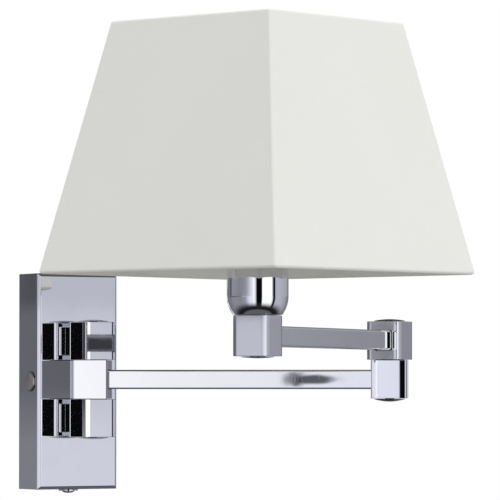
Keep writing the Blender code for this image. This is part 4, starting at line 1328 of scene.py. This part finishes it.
# %% Wires
def bent_wire(name, points, radius, closed=False):
    """A round wire through the points: a curve with a bevel, made a mesh."""
    curve = bpy.data.curves.new(name, "CURVE")
    curve.dimensions = "3D"
    curve.bevel_depth = radius
    curve.bevel_resolution = 3
    curve.use_fill_caps = not closed
    line = curve.splines.new("POLY")
    line.points.add(len(points) - 1)
    for point, place in zip(line.points, points):
        point.co = (*place, 1)
    line.use_cyclic_u = closed
    piece = bpy.data.objects.new(name, curve)
    bpy.context.scene.collection.objects.link(piece)
    only(piece)
    bpy.ops.object.convert(target="MESH")
    edit(piece)
    bpy.ops.mesh.remove_doubles(threshold=0.000001)
    leave_edit()
    return piece


def square_path(half, level, corner=5 * MM, steps=6):
    """Points round a square with round corners."""
    points = []
    for number in range(4):
        for step in range(steps + 1):
            angle = radians(90 * number + 90 * step / steps)
            centre = radians(90 * number + 45)
            x = copysign(half - corner, cos(centre)) + corner * cos(angle)
            y = copysign(half - corner, sin(centre)) + corner * sin(angle)
            points.append((x, y, level))
    return points


top_wire = bent_wire("rim_wire_top", square_path(high_middle, high_level), WIRE, True)
settle(top_wire, above(LAMP), (0, 0, SHADE_TURN))
complete(top_wire, white_coat, "lamp_head", ["shade_frame_top"])

ring_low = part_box("shade_ring_lower")[1].z + GAP
ring_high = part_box("shade_ring_upper")[0].z - GAP
FITTER = 31 * MM
SPOKE = 1.5 * MM
fitter_ring = flat_ring(SKIRT + 2 * GAP, FITTER, ring_low, ring_high)
fitter = turn_ring("shade_carrier", rounded(fitter_ring, 0.3 * MM, 2, closed=True))
ring_level = (ring_low + ring_high) / 2
parts = [bent_wire("rim_wire_low", square_path(low_middle, low_level), WIRE, True)]
corner_reach = hypot(low_middle, low_middle) - 2.2 * MM
for number in range(4):
    angle = radians(45 + 90 * number)
    stops = [
        (FITTER - 2 * MM, ring_level),
        (FITTER + 3 * MM, ring_level),
        (FITTER + 7 * MM, ring_level - 0.8 * MM),
        (corner_reach, low_level),
    ]
    path = [(reach * cos(angle), reach * sin(angle), level) for reach, level in stops]
    parts.append(bent_wire(f"spoke_{number + 1}", path, SPOKE))
only(fitter)
for piece in parts:
    piece.select_set(True)
bpy.ops.object.join()
settle(fitter, above(LAMP), (0, 0, SHADE_TURN))
complete(fitter, white_coat, "lamp_head", ["shade_frame_bottom"])

# %% [markdown]
# ## What stays as it was packed
#
# The pieces hidden inside the box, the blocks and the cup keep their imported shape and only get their
# finish: the pivot tubes and nuts in zinc, the contacts and terminals in brass, the wires in their
# insulation.

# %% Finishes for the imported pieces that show
paint_of = {
    "zinc": zinc,
    "brass": brass,
    "nylon": nylon,
    "porcelain": porcelain,
    "cable": insulation,
    "white_wire": white_coat,
    "chrome": chrome_turned,
}
slot_of = {row["node"]: row["material_slot"] for row in frame["record"]["subparts"]}
kept = [name for name, piece in frame["nodes"].items() if not piece.hide_render]
for name in kept:
    packed = frame["nodes"][name]
    packed.data.materials.clear()
    packed.data.materials.append(paint_of[slot_of[name]])
print("packed pieces that keep their shape:", ", ".join(sorted(kept)))

# %% [markdown]
# ## Sizes
#
# The finished model's overall size is printed in millimetres.

# %% Sizes and the end
low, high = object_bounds()
print("finished", [round(1000 * side, 1) for side in high - low], "mm")
